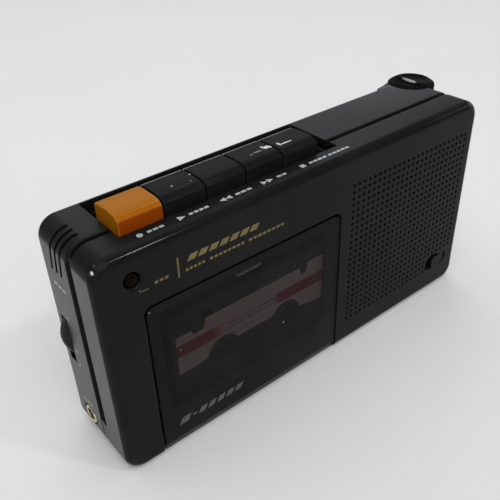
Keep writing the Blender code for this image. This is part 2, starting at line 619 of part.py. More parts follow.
# ---------------------------------------------------------------- microcassette
CAS_BEVEL = 0.5
face = rounded(grow(CAS_X, -CAS_BEVEL), grow(CAS_Z, -CAS_BEVEL), 1.0, 3)
body = rounded(CAS_X, CAS_Z, 1.5, 3)
loops = [
    layer(face, "Y", CAS_Y[0]),
    layer(body, "Y", CAS_Y[0] + CAS_BEVEL),
    layer(body, "Y", CAS_Y[1] - CAS_BEVEL),
    layer(face, "Y", CAS_Y[1]),
]
shell = loft("cassette_shell", loops, CASSETTE, smooth=True)
cavity_x, cavity_y = grow(CAS_X, -1.2), grow(CAS_Y, -1.2)
capstan_mirror = (CAS_MID - CAPSTAN_OFFSET, CAPSTAN[1])
cut(
    shell,
    box("cut_cas_cavity", cavity_x, cavity_y, (CAS_Z[0] + 1.4, CAS_Z[1] - 1.6)),
    disc("cut_cas_hub_l", "Y", SUPPLY, 3.3, (-12, 0), 20),
    disc("cut_cas_hub_r", "Y", TAKEUP, 3.3, (-12, 0), 20),
    box("cut_cas_head", about(CAS_MID, 6.0), cavity_y, (34.0, 38.0)),
    box("cut_cas_roller", about(CAPSTAN[0], 4.0), grow(CAS_Y, -1.0), (34.0, 38.0)),
    disc("cut_cas_capstan", "Y", CAPSTAN, 1.6, (-12, 0), 14),
    disc("cut_cas_capstan_2", "Y", capstan_mirror, 1.6, (-12, 0), 14),
)
for name, hub, pack_r in (("supply_reel", SUPPLY, 9.6), ("takeup_reel", TAKEUP, 6.4)):
    profile = [
        (2.6, -8.3), (4.2, -8.3), (4.2, -7.8), (pack_r, -7.8),
        (pack_r, -4.0), (4.2, -4.0), (4.2, -3.5), (2.6, -3.5),
    ]
    turned(name, profile, "Y", hub, TAPE, 20, pivot=0)

# ---------------------------------------------------------------- batteries
# distances run from the flat end to the tip; the two cells lie opposite ways
CELL_PROFILE = [
    (0, 0), (6.6, 0), (7.0, 0.4), (7.0, 48.4), (6.6, 48.8), (2.6, 48.8), (2.6, 50.0), (0, 50.0),
]
for name, z, flat_x, way in (("lower", LOW_Z, 9.0, 1), ("upper", HIGH_Z, 56.8, -1)):
    profile = [(radius, flat_x + way * along) for radius, along in CELL_PROFILE]
    turned(f"battery_{name}", profile, "X", (CELL_Y, z), CELL, 18)
for side, z, span in (("left", LOW_Z, (7.1, 8.4)), ("right", HIGH_Z, (57.4, 58.6))):
    coil(f"battery_spring_{side}", (CELL_Y, z), 3.0, 0.28, span, turns=2, per_turn=9)
CONTACT_Z = (11.0, 38.6)
box("battery_contact_left", (6.1, 6.5), (-0.8, 9.6), CONTACT_Z, NICKEL)
box("battery_contact_bridge", (59.3, 59.7), (-1.0, 7.8), CONTACT_Z, NICKEL)

# ---------------------------------------------------------------- case screws
SCREW_PROFILE = [
    (0, -6.5), (0.85, -5.9), (0.85, 11.3), (2.0, 11.3), (2.0, 12.2), (1.4, 12.5), (0, 12.5),
]
for i, (x, z) in enumerate(SCREWS):
    screw = turned(f"case_screw_{i + 1}", SCREW_PROFILE, "Y", (x, z), STEEL, 14)
    slot = (about(x, 1.1), (11.9, 13.0), about(z, 0.25))
    cut(screw, many_boxes(f"cut_drive_{i}", [slot]))
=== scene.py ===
"""Looks of a pocket microcassette dictation machine, built round its CAD pieces.

The machine stands on z = 0 with x to the right, y to the back and z up; the cassette
door is at the front (-y) and the keys are on top. Lengths in the mesh code are
millimetres; make() turns them into metres. Places come from the CAD nodes' boxes.
"""

import math

import bmesh
import bpy
from mathutils import Matrix, Vector


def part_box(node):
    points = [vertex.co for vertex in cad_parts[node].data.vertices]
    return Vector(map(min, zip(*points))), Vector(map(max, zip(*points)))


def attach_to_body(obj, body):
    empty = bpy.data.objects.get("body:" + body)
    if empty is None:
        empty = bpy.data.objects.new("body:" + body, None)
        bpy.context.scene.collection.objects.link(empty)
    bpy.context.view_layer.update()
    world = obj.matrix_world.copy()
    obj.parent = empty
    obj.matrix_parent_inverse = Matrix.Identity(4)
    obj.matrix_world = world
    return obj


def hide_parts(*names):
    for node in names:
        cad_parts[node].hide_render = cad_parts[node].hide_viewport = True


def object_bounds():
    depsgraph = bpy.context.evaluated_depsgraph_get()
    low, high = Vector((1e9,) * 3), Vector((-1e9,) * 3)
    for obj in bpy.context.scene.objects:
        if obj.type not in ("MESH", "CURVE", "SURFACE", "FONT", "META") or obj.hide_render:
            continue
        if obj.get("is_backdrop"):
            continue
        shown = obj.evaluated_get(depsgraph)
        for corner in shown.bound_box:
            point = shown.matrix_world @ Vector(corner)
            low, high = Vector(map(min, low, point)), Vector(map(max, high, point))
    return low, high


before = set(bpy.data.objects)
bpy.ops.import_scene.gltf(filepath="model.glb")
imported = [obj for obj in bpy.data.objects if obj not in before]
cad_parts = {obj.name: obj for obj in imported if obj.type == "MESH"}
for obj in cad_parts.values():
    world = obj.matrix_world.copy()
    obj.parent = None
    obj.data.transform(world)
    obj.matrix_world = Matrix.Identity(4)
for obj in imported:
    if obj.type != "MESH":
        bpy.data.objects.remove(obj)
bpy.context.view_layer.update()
MM = 0.001


def mm(node):
    """Low and high corners of a CAD node's box, in millimetres."""
    lo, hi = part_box(node)
    return [c / MM for c in lo], [c / MM for c in hi]


def centre(node):
    return [(low + high) / 2 for low, high in zip(*mm(node))]


# ---- places
front_lo, front_hi = mm("front_housing")
LEFT, RIGHT, FRONT, TOP = front_lo[0], front_hi[0], front_lo[1], front_hi[2]
SEAM_FRONT, SEAM_REAR = front_hi[1], mm("rear_housing")[0][1]
BACK = 12.8
CORNER_R, FRONT_ROUND, BACK_ROUND, WALL = 4.8, 2.4, 1.5, 1.8
GROOVE_DEPTH, GROOVE_FOOT = 1.15, 9.9  # groove along the seam, and the z where it starts

door_lo, door_hi = mm("cassette_door")
DOOR_LEFT, DOOR_RIGHT, DOOR_TOP = door_lo[0], door_hi[0], door_hi[2]
_, HINGE_Y, HINGE_Z = centre("door_hinge_pin_left")
LAMP_X, _, LAMP_Z = centre("record_lamp")
SCREWS = [centre(f"case_screw_{i}")[::2] for i in (1, 2, 3, 4)]  # x, z
EYE_X, EYE_Z = 52.0, 11.2  # strap eye
KEY_WELL = (-51.65, 10.8, -6.4, 11.4)  # x0, x1, y0, y1
KEY_AXIS = (-4.6, 57.0)  # y, z of the shaft the keys turn on
HUB_LEFT, _, HUB_Z = centre("supply_reel")
HUB_RIGHT = centre("takeup_reel")[0]

dial_lo, dial_hi = mm("speed_dial")
DIAL_X, DIAL_Y, _ = centre("speed_dial")
DIAL_R = (dial_hi[0] - dial_lo[0]) / 2
wheel_lo, wheel_hi = mm("volume_wheel")
WHEEL_X, _, WHEEL_Z = centre("volume_wheel")
WHEEL_Y0, WHEEL_Y1 = wheel_lo[1], wheel_hi[1]
WHEEL_R = (wheel_hi[2] - wheel_lo[2]) / 2
_, JACK_Y, JACK_Z = centre("earphone_jack")


# ---- shader nodes
def add_node(tree, kind, inputs=None, **props):
    """Adds a node; inputs maps socket names or numbers to values or linked sockets."""
    node = tree.nodes.new("ShaderNode" + kind)
    for key, value in props.items():
        setattr(node, key, value)
    for key, value in (inputs or {}).items():
        if isinstance(value, bpy.types.NodeSocket):
            tree.links.new(value, node.inputs[key])
        else:
            node.inputs[key].default_value = value
    return node


def grey(level):
    return (level, level, level)


class Shader:
    """A material's node tree, with short calls for the nodes used here."""

    def __init__(self, name):
        self.material = bpy.data.materials.new(name)
        self.material.use_nodes = True
        self.tree = self.material.node_tree
        self.tree.nodes.clear()
        self.output = self.node("OutputMaterial")
        self._coords = None

    def node(self, kind, inputs=None, **props):
        return add_node(self.tree, kind, inputs, **props)

    def coords(self):
        """Object coordinates in millimetres; they travel with the piece."""
        if self._coords is None:
            source = self.node("TexCoord").outputs["Object"]
            scaled = self.node("VectorMath", {0: source, "Scale": 1000.0}, operation="SCALE")
            self._coords = scaled.outputs[0]
        return self._coords

    def vector(self, operation, first, second, output=0):
        node = self.node("VectorMath", {0: first, 1: second}, operation=operation)
        return node.outputs[output]

    def stretch(self, *factors):
        return self.vector("MULTIPLY", self.coords(), factors)

    def split(self, vector):
        return self.node("SeparateXYZ", {0: vector}).outputs

    def normal(self, axis):
        return self.split(self.node("NewGeometry").outputs["Normal"])[axis]

    def facing(self):
        return self.node("LayerWeight", {"Blend": 0.5}).outputs["Facing"]

    def noise(self, scale, detail=3.0, rough=0.55, vector=None, distortion=0.0):
        return self.node("TexNoise", {
            "Vector": vector or self.coords(), "Scale": scale, "Detail": detail,
            "Roughness": rough, "Distortion": distortion}).outputs[0]

    def math(self, operation, first, second=0.0, clamp=False):
        node = self.node("Math", {0: first, 1: second}, operation=operation, use_clamp=clamp)
        return node.outputs[0]

    def add(self, first, second, clamp=False):
        return self.math("ADD", first, second, clamp)

    def sub(self, first, second):
        return self.math("SUBTRACT", first, second)

    def mul(self, first, second):
        return self.math("MULTIPLY", first, second)

    def swing(self, value, amount):
        """A 0 to 1 value turned into a spread of the given amount round zero."""
        return self.mul(self.sub(value, 0.5), amount)

    def ramp(self, value, start, end, low=0.0, high=1.0, kind="SMOOTHSTEP"):
        """low at start and below, high at end and beyond."""
        inputs = {0: value, 1: start, 2: end, 3: low, 4: high}
        return self.node("MapRange", inputs, interpolation_type=kind).outputs[0]

    def mix(self, factor, first, second):
        """Colour mix; plain colours may be given as RGB."""
        first, second = ((*c, 1.0) if isinstance(c, tuple) else c for c in (first, second))
        return self.node("Mix", {0: factor, 6: first, 7: second}, data_type="RGBA").outputs[2]

    def edges(self, radius):
        """1 on a rim sharper than the radius, 0 on flat or gently curved faces."""
        bevel = self.node("Bevel", {"Radius": radius * MM}, samples=4).outputs[0]
        normal = self.node("NewGeometry").outputs["Normal"]
        return self.ramp(self.vector("DOT_PRODUCT", bevel, normal, "Value"), 0.98, 0.78)

    def spot(self, middle, radii, fuzz=0.5):
        """A ragged ellipsoid mask round a point, in millimetres."""
        offset = self.vector("SUBTRACT", self.coords(), middle)
        offset = self.vector("DIVIDE", offset, radii)
        distance = self.node("VectorMath", {0: offset}, operation="LENGTH").outputs["Value"]
        ragged = self.swing(self.noise(2.5, 5.0, 0.7), fuzz * 3.0)
        return self.ramp(self.add(distance, ragged), 1.0, 0.65)

    def bump(self, height, strength, distance=0.02):
        return self.node("Bump", {
            "Height": height, "Strength": strength, "Distance": distance * MM}).outputs[0]

    def surface(self, colour, rough, normal=None, metallic=0.0, spec=0.5):
        inputs = {"Base Color": colour, "Roughness": rough, "Metallic": metallic,
                  "Specular IOR Level": spec}
        if normal is not None:
            inputs["Normal"] = normal
        return self.finish(self.node("BsdfPrincipled", inputs))

    def finish(self, shader):
        self.tree.links.new(shader.outputs[0], self.output.inputs[0])
        return self.material


def plastic(name, rgb, rough=0.5, grain=0.3, grain_mm=0.3, wear=0.35, wear_rgb=None, spec=0.5,
            patch=0.12, spots=(), brushed=None, scuffs=0.25, dust=0.0, edge_mm=0.35,
            graze=None, polish=0.0, front_shade_rgb=None):
    """Moulded plastic: fine grain, handled patches, hairline scuffs and rubbed rims.

    spots: (middle, radii, colour, strength) marks, in millimetres.
    brushed: x, y, z stretch of the brush lines. polish: gloss on faces turning from y.
    graze: (start, end, gain) of extra sheen at grazing angles. The front colour is a painted
    shade: darker on faces turned to the front.
    """
    mat = Shader(name)
    wear_rgb = wear_rgb or tuple(min(1.0, c * 3.0 + 0.03) for c in rgb)
    broad = mat.noise(0.055, 4.0, 0.6)
    fine_patches = mat.noise(0.6, 5.0, 0.65)
    patch_rgb = tuple(c * (1.0 + 2.2 * patch) + 0.002 for c in rgb)
    colour = mat.mix(mat.ramp(broad, 0.35, 0.7), rgb, patch_rgb)
    # painted shade: faces turned to the front take the darker front colour
    if front_shade_rgb:
        colour = mat.mix(mat.ramp(mat.normal(1), -0.35, -0.95), colour, front_shade_rgb)
    if brushed:
        lines = mat.noise(1.0, 4.0, 0.7, vector=mat.stretch(*brushed))
        colour = mat.mix(mat.ramp(lines, 0.55, 0.8, 0.0, 0.3), colour, wear_rgb)
    hair = mat.noise(1.0, 6.0, 0.75, vector=mat.stretch(0.22, 1.6, 0.9), distortion=0.4)
    colour = mat.mix(mat.mul(mat.ramp(hair, 0.64, 0.74), scuffs), colour, wear_rgb)
    broken = mat.ramp(mat.noise(0.35, 5.0, 0.7), 0.36, 0.62, 0.1, 1.0)
    rims = mat.mul(mat.mul(mat.edges(edge_mm), broken), wear)
    colour = mat.mix(rims, colour, wear_rgb)
    if dust:
        settled = mat.ramp(mat.noise(1.8, 6.0, 0.8), 0.42, 0.7, 0.0, dust)
        settled = mat.mul(mat.ramp(mat.normal(2), 0.2, 1.0), settled)
        colour = mat.mix(settled, colour, (0.22, 0.21, 0.2))
    rough = mat.add(rough, mat.swing(broad, patch * 1.6))
    rough = mat.add(rough, mat.swing(fine_patches, patch))
    for middle, radii, spot_rgb, strength in spots:
        colour = mat.mix(mat.mul(mat.spot(middle, radii), strength), colour, spot_rgb)
    if polish:
        # strongest where the face is halfway turned, and kept off the ends
        toward_y, toward_x = mat.normal(1), mat.normal(0)
        square = mat.mul(toward_y, toward_y)
        turn = mat.mul(mat.mul(square, mat.sub(1.0, square)), 4.0 * polish)
        turn = mat.mul(turn, mat.ramp(mat.mul(toward_x, toward_x), 0.3, 0.02))
        rough = mat.sub(rough, turn)
    fine = mat.noise(1.0 / grain_mm, 2.0, 0.6)
    normal = mat.bump(mat.add(fine, mat.mul(fine_patches, 0.35)), grain, 0.03)
    if graze:
        start, end, gain = graze
        facing = mat.facing()
        toward_x = mat.normal(0)
        off_ends = mat.sub(1.12, mat.mul(toward_x, toward_x))
        spec = mat.add(spec, mat.mul(mat.ramp(facing, start, end, 0.0, gain), off_ends))
        end_sheen = mat.ramp(facing, 0.62, 0.75, 0.0, 0.95)
        end_sheen = mat.mul(mat.mul(toward_x, toward_x), end_sheen)
        spec = mat.add(spec, end_sheen, clamp=True)
    return mat.surface(colour, rough, normal, spec=spec)


def metal(name, rgb, rough, amount, tarnish=(0.25, 0.2, 0.14)):
    """Plated or turned metal: brush lines, an amount of tarnish in patches, bright rims."""
    mat = Shader(name)
    lines = mat.noise(1.0, 4.0, 0.7, vector=mat.stretch(0.15, 3.0, 3.0))
    blots = mat.noise(0.45, 6.0, 0.65)
    colour = mat.mix(mat.mul(mat.ramp(blots, 0.45, 0.72), amount), rgb, tarnish)
    bright = tuple(min(1.0, c * 1.25) for c in rgb)
    colour = mat.mix(mat.mul(mat.edges(0.2), 0.3), colour, bright)
    rough = mat.add(rough, mat.swing(lines, 0.35))
    rough = mat.add(rough, mat.mul(mat.ramp(blots, 0.4, 0.75), 0.18), clamp=True)
    return mat.surface(colour, rough, mat.bump(lines, 0.2, 0.01), metallic=1.0)


def board_material():
    """Lacquered board: green resist over copper runs on a square pitch."""
    mat = Shader("circuit_board_resist")
    flat = mat.node("CombineXYZ", {
        0: mat.split(mat.coords())[0], 1: mat.split(mat.coords())[2]}).outputs[0]
    pitch = mat.vector("MULTIPLY", flat, (0.42, 0.42, 1.0))
    bricks = mat.node("TexBrick", {"Vector": pitch, "Scale": 1.0, "Mortar Size": 0.09},
                      offset=0.5)
    runs = mat.mul(bricks.outputs[1], mat.ramp(mat.noise(0.25), 0.4, 0.6))
    colour = mat.mix(runs, (0.05, 0.085, 0.02), (0.12, 0.16, 0.04))
    colour = mat.mix(mat.mul(mat.edges(0.25), 0.5), colour, (0.25, 0.22, 0.12))
    rough = mat.ramp(mat.noise(0.8, 4.0), 0.3, 0.7, 0.25, 0.45)
    return mat.surface(colour, rough, mat.bump(runs, 0.4, 0.04))


def tape_material():
    """Wound tape: very fine rings round whichever hub is nearer, brown and shiny."""
    mat = Shader("wound_tape")
    x, _, z = mat.split(mat.coords())

    def distance(hub_x):
        across = mat.sub(x, hub_x)
        up = mat.sub(z, HUB_Z)
        return mat.math("SQRT", mat.add(mat.mul(across, across), mat.mul(up, up)))

    nearer = mat.math("MINIMUM", distance(HUB_LEFT), distance(HUB_RIGHT))
    rings = mat.node("TexNoise", {"W": nearer, "Scale": 9.0, "Detail": 4.0, "Roughness": 0.7},
                     noise_dimensions="1D").outputs[0]
    colour = mat.mix(mat.ramp(rings, 0.35, 0.65), (0.035, 0.018, 0.01), (0.11, 0.06, 0.035))
    rough = mat.ramp(rings, 0.3, 0.7, 0.2, 0.4)
    return mat.surface(colour, rough, mat.bump(rings, 0.4))


def label_material():
    """Paper label: off-white stock with a printed band that fades out between the hubs."""
    mat = Shader("cassette_label_paper")
    x, _, z = mat.split(mat.coords())
    fibre = mat.noise(1.4, 6.0, 0.7)
    colour = mat.mix(mat.ramp(fibre, 0.35, 0.7), (0.46, 0.385, 0.385), (0.54, 0.45, 0.45))
    colour = mat.mix(mat.ramp(x, -8.0, 3.0, 0.0, 0.5), colour, (0.52, 0.385, 0.375))
    band = mat.mul(mat.ramp(z, 25.3, 25.8), mat.ramp(z, 29.3, 28.8))
    left, right = mat.ramp(x, -30.5, -34.5), mat.ramp(x, -14.5, -11.5)
    colour = mat.mix(mat.mul(band, mat.ramp(x, -27.0, -33.0)), colour, (0.5, 0.24, 0.14))
    ends = mat.mul(band, mat.math("MAXIMUM", left, right))
    colour = mat.mix(ends, colour, (0.3, 0.045, 0.05))
    # plain ruled lines for a user's notes, partly rubbed away
    ink = mat.noise(1.0, 4.0, 0.7, vector=mat.stretch(1.1, 0.3, 0.8))
    ink = mat.ramp(ink, 0.4, 0.6, 0.15, 0.85)
    span = mat.mul(mat.ramp(x, -29.0, -28.2), mat.ramp(x, -13.4, -14.2))
    for height, half in ((27.9, 0.42), (26.6, 0.36), (24.0, 0.2)):
        rule = mat.mul(mat.ramp(z, height - half, height - half * 0.5),
                       mat.ramp(z, height + half, height + half * 0.5))
        colour = mat.mix(mat.mul(mat.mul(rule, span), ink), colour, (0.13, 0.08, 0.085))
    rough = mat.ramp(fibre, 0.3, 0.7, 0.55, 0.75)
    return mat.surface(colour, rough, mat.bump(fibre, 0.25), spec=0.3)


SPECKS = (  # x, z, radius of pale specks on the pane
    (-44.2, 30.7, 0.22), (-12.9, 21.3, 0.34), (-50.7, 45.3, 0.26), (-35.0, 13.5, 0.15),
    (-3.5, 38.5, 0.16), (-22.0, 9.6, 0.14), (1.5, 24.0, 0.14),
)


def smoked_material():
    """Smoked acrylic: dark polished pane with a faint haze, hairline scratches and a painted
    reflection.
    """
    mat = Shader("smoked_acrylic")
    hair = mat.noise(1.0, 5.0, 0.7, vector=mat.stretch(0.05, 1.0, 2.4))
    haze = mat.noise(0.05)
    rough = mat.add(mat.ramp(haze, 0.3, 0.7, 0.16, 0.24),
                    mat.mul(mat.ramp(hair, 0.6, 0.8), 0.12))
    glossy = mat.node("BsdfAnisotropic", {
        "Color": (1, 1, 1, 1), "Roughness": rough,
        "Normal": mat.bump(mat.noise(0.1, 2.0), 0.05, 0.05)})
    clear = mat.node("BsdfTransparent", {"Color": (0.53, 0.515, 0.51, 1.0)})
    fresnel = mat.ramp(mat.facing(), 0.6, 0.95, 0.0015, 0.03)
    pane = mat.node("MixShader", {0: fresnel, 1: clear.outputs[0], 2: glossy.outputs[0]})
    masks = [mat.spot((x, FRONT, z), (radius, 1.0, radius), 0.2) for x, z, radius in SPECKS]
    specks = masks[0]
    for mask in masks[1:]:
        specks = mat.math("MAXIMUM", specks, mask)
    # painted reflection on the outer face: a faint emission seen by the camera only, brighter
    # towards the lower right and along the scratches and rims
    x, _, z = mat.split(mat.coords())
    slope = mat.add(mat.ramp(x, DOOR_LEFT, DOOR_RIGHT, 0.0, 0.55, "LINEAR"),
                    mat.ramp(z, DOOR_TOP, 0.0, 0.0, 0.45, "LINEAR"))
    painted_reflection = mat.ramp(slope, 0.1, 0.95, 0.0082, 0.0145)
    painted_reflection = mat.add(painted_reflection, mat.ramp(hair, 0.58, 0.8, 0.0, 0.003))
    painted_reflection = mat.add(painted_reflection, mat.mul(mat.edges(0.3), 0.002))
    painted_reflection = mat.mul(painted_reflection, mat.ramp(haze, 0.3, 0.7, 0.85, 1.15))
    geometry = mat.node("NewGeometry").outputs
    seen = mat.mul(mat.sub(1.0, geometry["Backfacing"]),
                   mat.node("LightPath").outputs["Is Camera Ray"])
    outer = mat.ramp(mat.split(geometry["Normal"])[1], -0.3, -0.72)
    reflection_glow = mat.node("Emission", {
        "Color": (1.0, 1.0, 1.0, 1.0), "Strength": mat.mul(mat.mul(painted_reflection, seen), outer)})
    pane_with_reflection = mat.node("AddShader", {0: pane.outputs[0], 1: reflection_glow.outputs[0]})
    mark = mat.node("BsdfDiffuse", {"Color": (0.3, 0.3, 0.29, 1.0)})
    return mat.finish(mat.node("MixShader", {
        0: mat.mul(specks, 0.7), 1: pane_with_reflection.outputs[0], 2: mark.outputs[0]}))


def lamp_material():
    mat = Shader("lamp_lens")
    ribs = mat.noise(2.0)
    colour = mat.mix(mat.ramp(ribs, 0.3, 0.7), (0.003, 0.0008, 0.0008), (0.006, 0.0014, 0.0014))
    rough = mat.ramp(ribs, 0.3, 0.7, 0.08, 0.16)
    return mat.surface(colour, rough, mat.bump(ribs, 0.1, 0.03), spec=0.03)


# ---- materials
SCUFF = (0.55, 0.54, 0.52)
KEY_RGB = (0.0062, 0.0064, 0.007)
REAR_EDGE_HIGHLIGHT = ((-20.0, 3.4, 65.6), (60.0, 0.36, 1.2), (0.3, 0.3, 0.31), 0.8)  # painted highlight along the keys' rear top edges


def black_key(name, *marks):
    return plastic(name, rgb=KEY_RGB, spots=(REAR_EDGE_HIGHLIGHT, *marks), rough=0.4, grain=0.12, grain_mm=0.4,
                   wear=0.9, wear_rgb=(0.075, 0.075, 0.08), spec=0.025, patch=0.06,
                   brushed=(0.05, 1.6, 1.6), scuffs=0.07, dust=0.012, edge_mm=0.3)


def ink(name, rgb, **look):
    return plastic(name, rgb, grain=0.15, grain_mm=0.2, **look)


MATS = {
    "housing": plastic(
        "housing_plastic", rgb=(0.0062, 0.0063, 0.0066), rough=0.42, grain=0.2, grain_mm=0.28,
        wear=0.3, wear_rgb=grey(0.05), spec=0.082, patch=0.08, scuffs=0.06,
        graze=(0.6, 0.76, 0.35), polish=0.34, spots=(
            # the first two spots are a painted highlight: a bright dot on the front-left top
            # corner and a faint trail above it
            ((-60.6, -11.1, 59.7), (0.6, 0.8, 0.7), (0.75, 0.75, 0.73), 0.95),
            ((-59.9, -10.95, 60.6), (0.3, 0.45, 1.8), grey(0.12), 0.3),
            ((-61.6, -1.2, 61.0), (0.6, 0.5, 0.6), grey(0.3), 0.4),
        )),
    "rear": plastic(
        "rear_housing_plastic", rgb=(0.007, 0.0072, 0.0075), rough=0.42, grain=0.22,
        grain_mm=0.28, wear=0.3, wear_rgb=grey(0.05), spec=0.085, patch=0.08, scuffs=0.08,
        dust=0.02, graze=(0.6, 0.76, 0.5), polish=0.15,
        spots=(((-61.9, -2.1, 59.9), (0.5, 0.35, 0.45), SCUFF, 0.8),)),
    "door_frame": plastic(
        "door_frame_plastic", rgb=(0.045, 0.045, 0.046), rough=0.6, grain=0.05, wear=0.2,
        wear_rgb=grey(0.04), spec=0.05, patch=0.06, scuffs=0.05),
    "key": black_key("key_plastic"),
    "play": black_key(
        "play_key_plastic",
        ((-29.6, -0.4, 65.9), (0.22, 0.4, 0.8), SCUFF, 0.8),
        ((-35.6, -2.3, 66.0), (0.36, 0.42, 0.8), grey(0.3), 0.7),
        ((-31.1, -3.0, 65.9), (0.22, 0.3, 0.8), grey(0.25), 0.7)),
    "forward": black_key(
        "forward_key_plastic",
        ((-8.3, -1.5, 66.0), (1.15, 0.75, 1.0), (0.62, 0.62, 0.6), 0.95),
        ((-7.2, -1.95, 66.0), (0.75, 0.55, 1.0), (0.62, 0.62, 0.6), 0.95),
        ((-9.0, -0.7, 66.0), (0.5, 0.5, 1.0), (0.5, 0.5, 0.48), 0.8),
        ((-11.3, -2.0, 66.0), (1.4, 0.3, 1.0), (0.35, 0.35, 0.34), 0.6),
        ((-13.4, -2.3, 66.0), (0.5, 0.25, 1.0), grey(0.3), 0.55)),
    "stop": black_key(
        "stop_key_plastic",
        ((-3.2, -2.7, 66.0), (2.3, 0.3, 0.9), (0.6, 0.6, 0.58), 0.9),
        ((-4.9, -2.2, 66.0), (0.45, 1.0, 1.0), (0.55, 0.55, 0.53), 0.85)),
    "orange": plastic(
        "record_key_plastic", rgb=(0.315, 0.104, 0.001), rough=0.4, grain=0.12, grain_mm=0.4,
        # the pale rims are partly rubbed edges and partly a painted highlight along the key's
        # edges
        wear=0.85, wear_rgb=(0.8, 0.5, 0.22), spec=0.05, patch=0.04, brushed=(0.05, 1.1, 1.1),
        # the front colour is painted shade on the key's front face
        scuffs=0.04, edge_mm=0.32, front_shade_rgb=(0.27, 0.047, 0.001), spots=(
            ((-46.0, -4.6, 66.0), (5.6, 0.14, 0.5), (0.24, 0.09, 0.01), 0.6),
            ((-46.4, -3.2, 66.1), (4.4, 0.16, 0.4), (0.3, 0.12, 0.01), 0.35),
        )),
    "dial": plastic(
        "dial_plastic", rgb=(0.0035, 0.004, 0.0035), rough=0.3, grain=0.05, wear=0.3,
        wear_rgb=grey(0.03), spec=0.01, patch=0.08, scuffs=0.1,
        # painted highlight: a pale streak along the grip ridge on the dial's top
        spots=(((58.5, 10.2, 62.3), (0.55, 3.1, 0.6), (0.42, 0.42, 0.4), 0.9),)),
    "wheel": plastic("wheel_plastic", rgb=(0.016, 0.016, 0.0165), rough=0.42, grain=0.12,
                     wear=0.6, wear_rgb=grey(0.09), spec=0.25, scuffs=0.15),
    "bracket": plastic("mechanism_plastic", rgb=(0.008, 0.008, 0.0085), rough=0.6, grain=0.2,
                       wear=0.2, wear_rgb=grey(0.03), spec=0.1),
    "steel": metal("zinc_steel", rgb=(0.55, 0.55, 0.56), rough=0.32, amount=0.3),
    "spring": metal("spring_wire", rgb=(0.5, 0.5, 0.51), rough=0.25, amount=0.15),
    "nickel": metal("nickel_plate", rgb=(0.66, 0.63, 0.56), rough=0.22, amount=0.25,
                    tarnish=(0.35, 0.3, 0.2)),
    "brass": metal("turned_brass", rgb=(0.72, 0.56, 0.3), rough=0.24, amount=0.35,
                   tarnish=(0.34, 0.22, 0.08)),
    "jack": metal("jack_brass", rgb=(0.78, 0.7, 0.46), rough=0.2, amount=0.25,
                  tarnish=(0.4, 0.32, 0.12)),
    "rubber": plastic("rubber", rgb=grey(0.018), rough=0.78, grain_mm=0.2, wear=0.25,
                      wear_rgb=(0.06, 0.06, 0.058), spec=0.3, patch=0.1, scuffs=0.1),
    "white": plastic("grey_acetal", rgb=(0.06, 0.06, 0.058), rough=0.42, grain=0.1, wear=0.3,
                     wear_rgb=(0.2, 0.2, 0.19), spec=0.3, patch=0.06, scuffs=0.1),
    "capacitor": plastic("capacitor_sleeve", rgb=(0.03, 0.06, 0.22), rough=0.28, grain=0.08,
                         wear=0.2, patch=0.08),
    "chip": plastic("chip_epoxy", rgb=grey(0.018), rough=0.55, grain=0.35, grain_mm=0.15,
                    wear=0.2),
    "battery": plastic("battery_jacket", rgb=(0.05, 0.05, 0.056), rough=0.25, grain=0.05,
                       wear=0.25, wear_rgb=grey(0.3), patch=0.08),
    "cassette": plastic("cassette_plastic", rgb=(0.042, 0.042, 0.043), grain=0.06,
                        wear_rgb=grey(0.08), spec=0.1, patch=0.08, scuffs=0.1),
    "cone": plastic("cone_paper", rgb=(0.035, 0.034, 0.033), rough=0.9, grain=0.6,
                    grain_mm=0.5, wear=0.1, spec=0.2, patch=0.2),
    "white_ink": ink("white_ink", rgb=(0.3, 0.31, 0.32), wear=0.5, wear_rgb=grey(0.12),
                     patch=0.2, scuffs=0.4),
    "grey_ink": ink("grey_ink", rgb=(0.055, 0.055, 0.058), wear=0.3, wear_rgb=grey(0.03),
                    patch=0.2, scuffs=0.4),
    "gold_ink": ink("gold_ink", rgb=(0.085, 0.062, 0.009), rough=0.42, wear=0.4,
                    wear_rgb=(0.05, 0.04, 0.015), spec=0.6, patch=0.3, scuffs=0.5),
    "board": board_material(),
}


# ---- mesh helpers
def make(name, verts, faces, mat=None, smooth=True, angle=32):
    bm = bmesh.new()
    points = [bm.verts.new([c * MM for c in p]) for p in verts]
    for face in faces:
        bm.faces.new([points[i] for i in face])
    bmesh.ops.recalc_face_normals(bm, faces=bm.faces)
    mesh = bpy.data.meshes.new(name)
    bm.to_mesh(mesh)
    bm.free()
    ob = bpy.data.objects.new(name, mesh)
    bpy.context.scene.collection.objects.link(ob)
    if mat is not None:
        mesh.materials.append(mat)
    if smooth:
        mesh.shade_smooth()
        mesh.set_sharp_from_angle(angle=math.radians(angle))
    return ob


def tube_block(loops):
    """Points and faces of a closed lofted block."""
    n = len(loops[0])
    last = (len(loops) - 1) * n
    faces = []
    for start in range(0, last, n):
        for i in range(n):
            j = (i + 1) % n
            faces.append((start + i, start + j, start + n + j, start + n + i))
    faces += [tuple(range(n)), tuple(last + i for i in range(n))]
    return [p for loop in loops for p in loop], faces


def loft(name, loops, mat=None, **shading):
    return make(name, *tube_block(loops), mat, **shading)


def merged(name, blocks):
    """One mesh from many (points, faces) blocks that don't touch."""
    verts, faces = [], []
    for block_verts, block_faces in blocks:
        base = len(verts)
        verts += block_verts
        faces += [tuple(base + i for i in face) for face in block_faces]
    return make(name, verts, faces, smooth=False)


# lifts a 2-D point of a plane to the height a along the plane's axis
LIFT = {
    "XZ": lambda p, a: (p[0], a, p[1]),
    "YZ": lambda p, a: (a, p[0], p[1]),
    "XY": lambda p, a: (p[0], p[1], a),
}


def lifted(points, plane, height):
    return [LIFT[plane](p, height) for p in points]


def prism(name, points, plane, start, end, mat=None):
    return loft(name, [lifted(points, plane, start), lifted(points, plane, end)], mat)


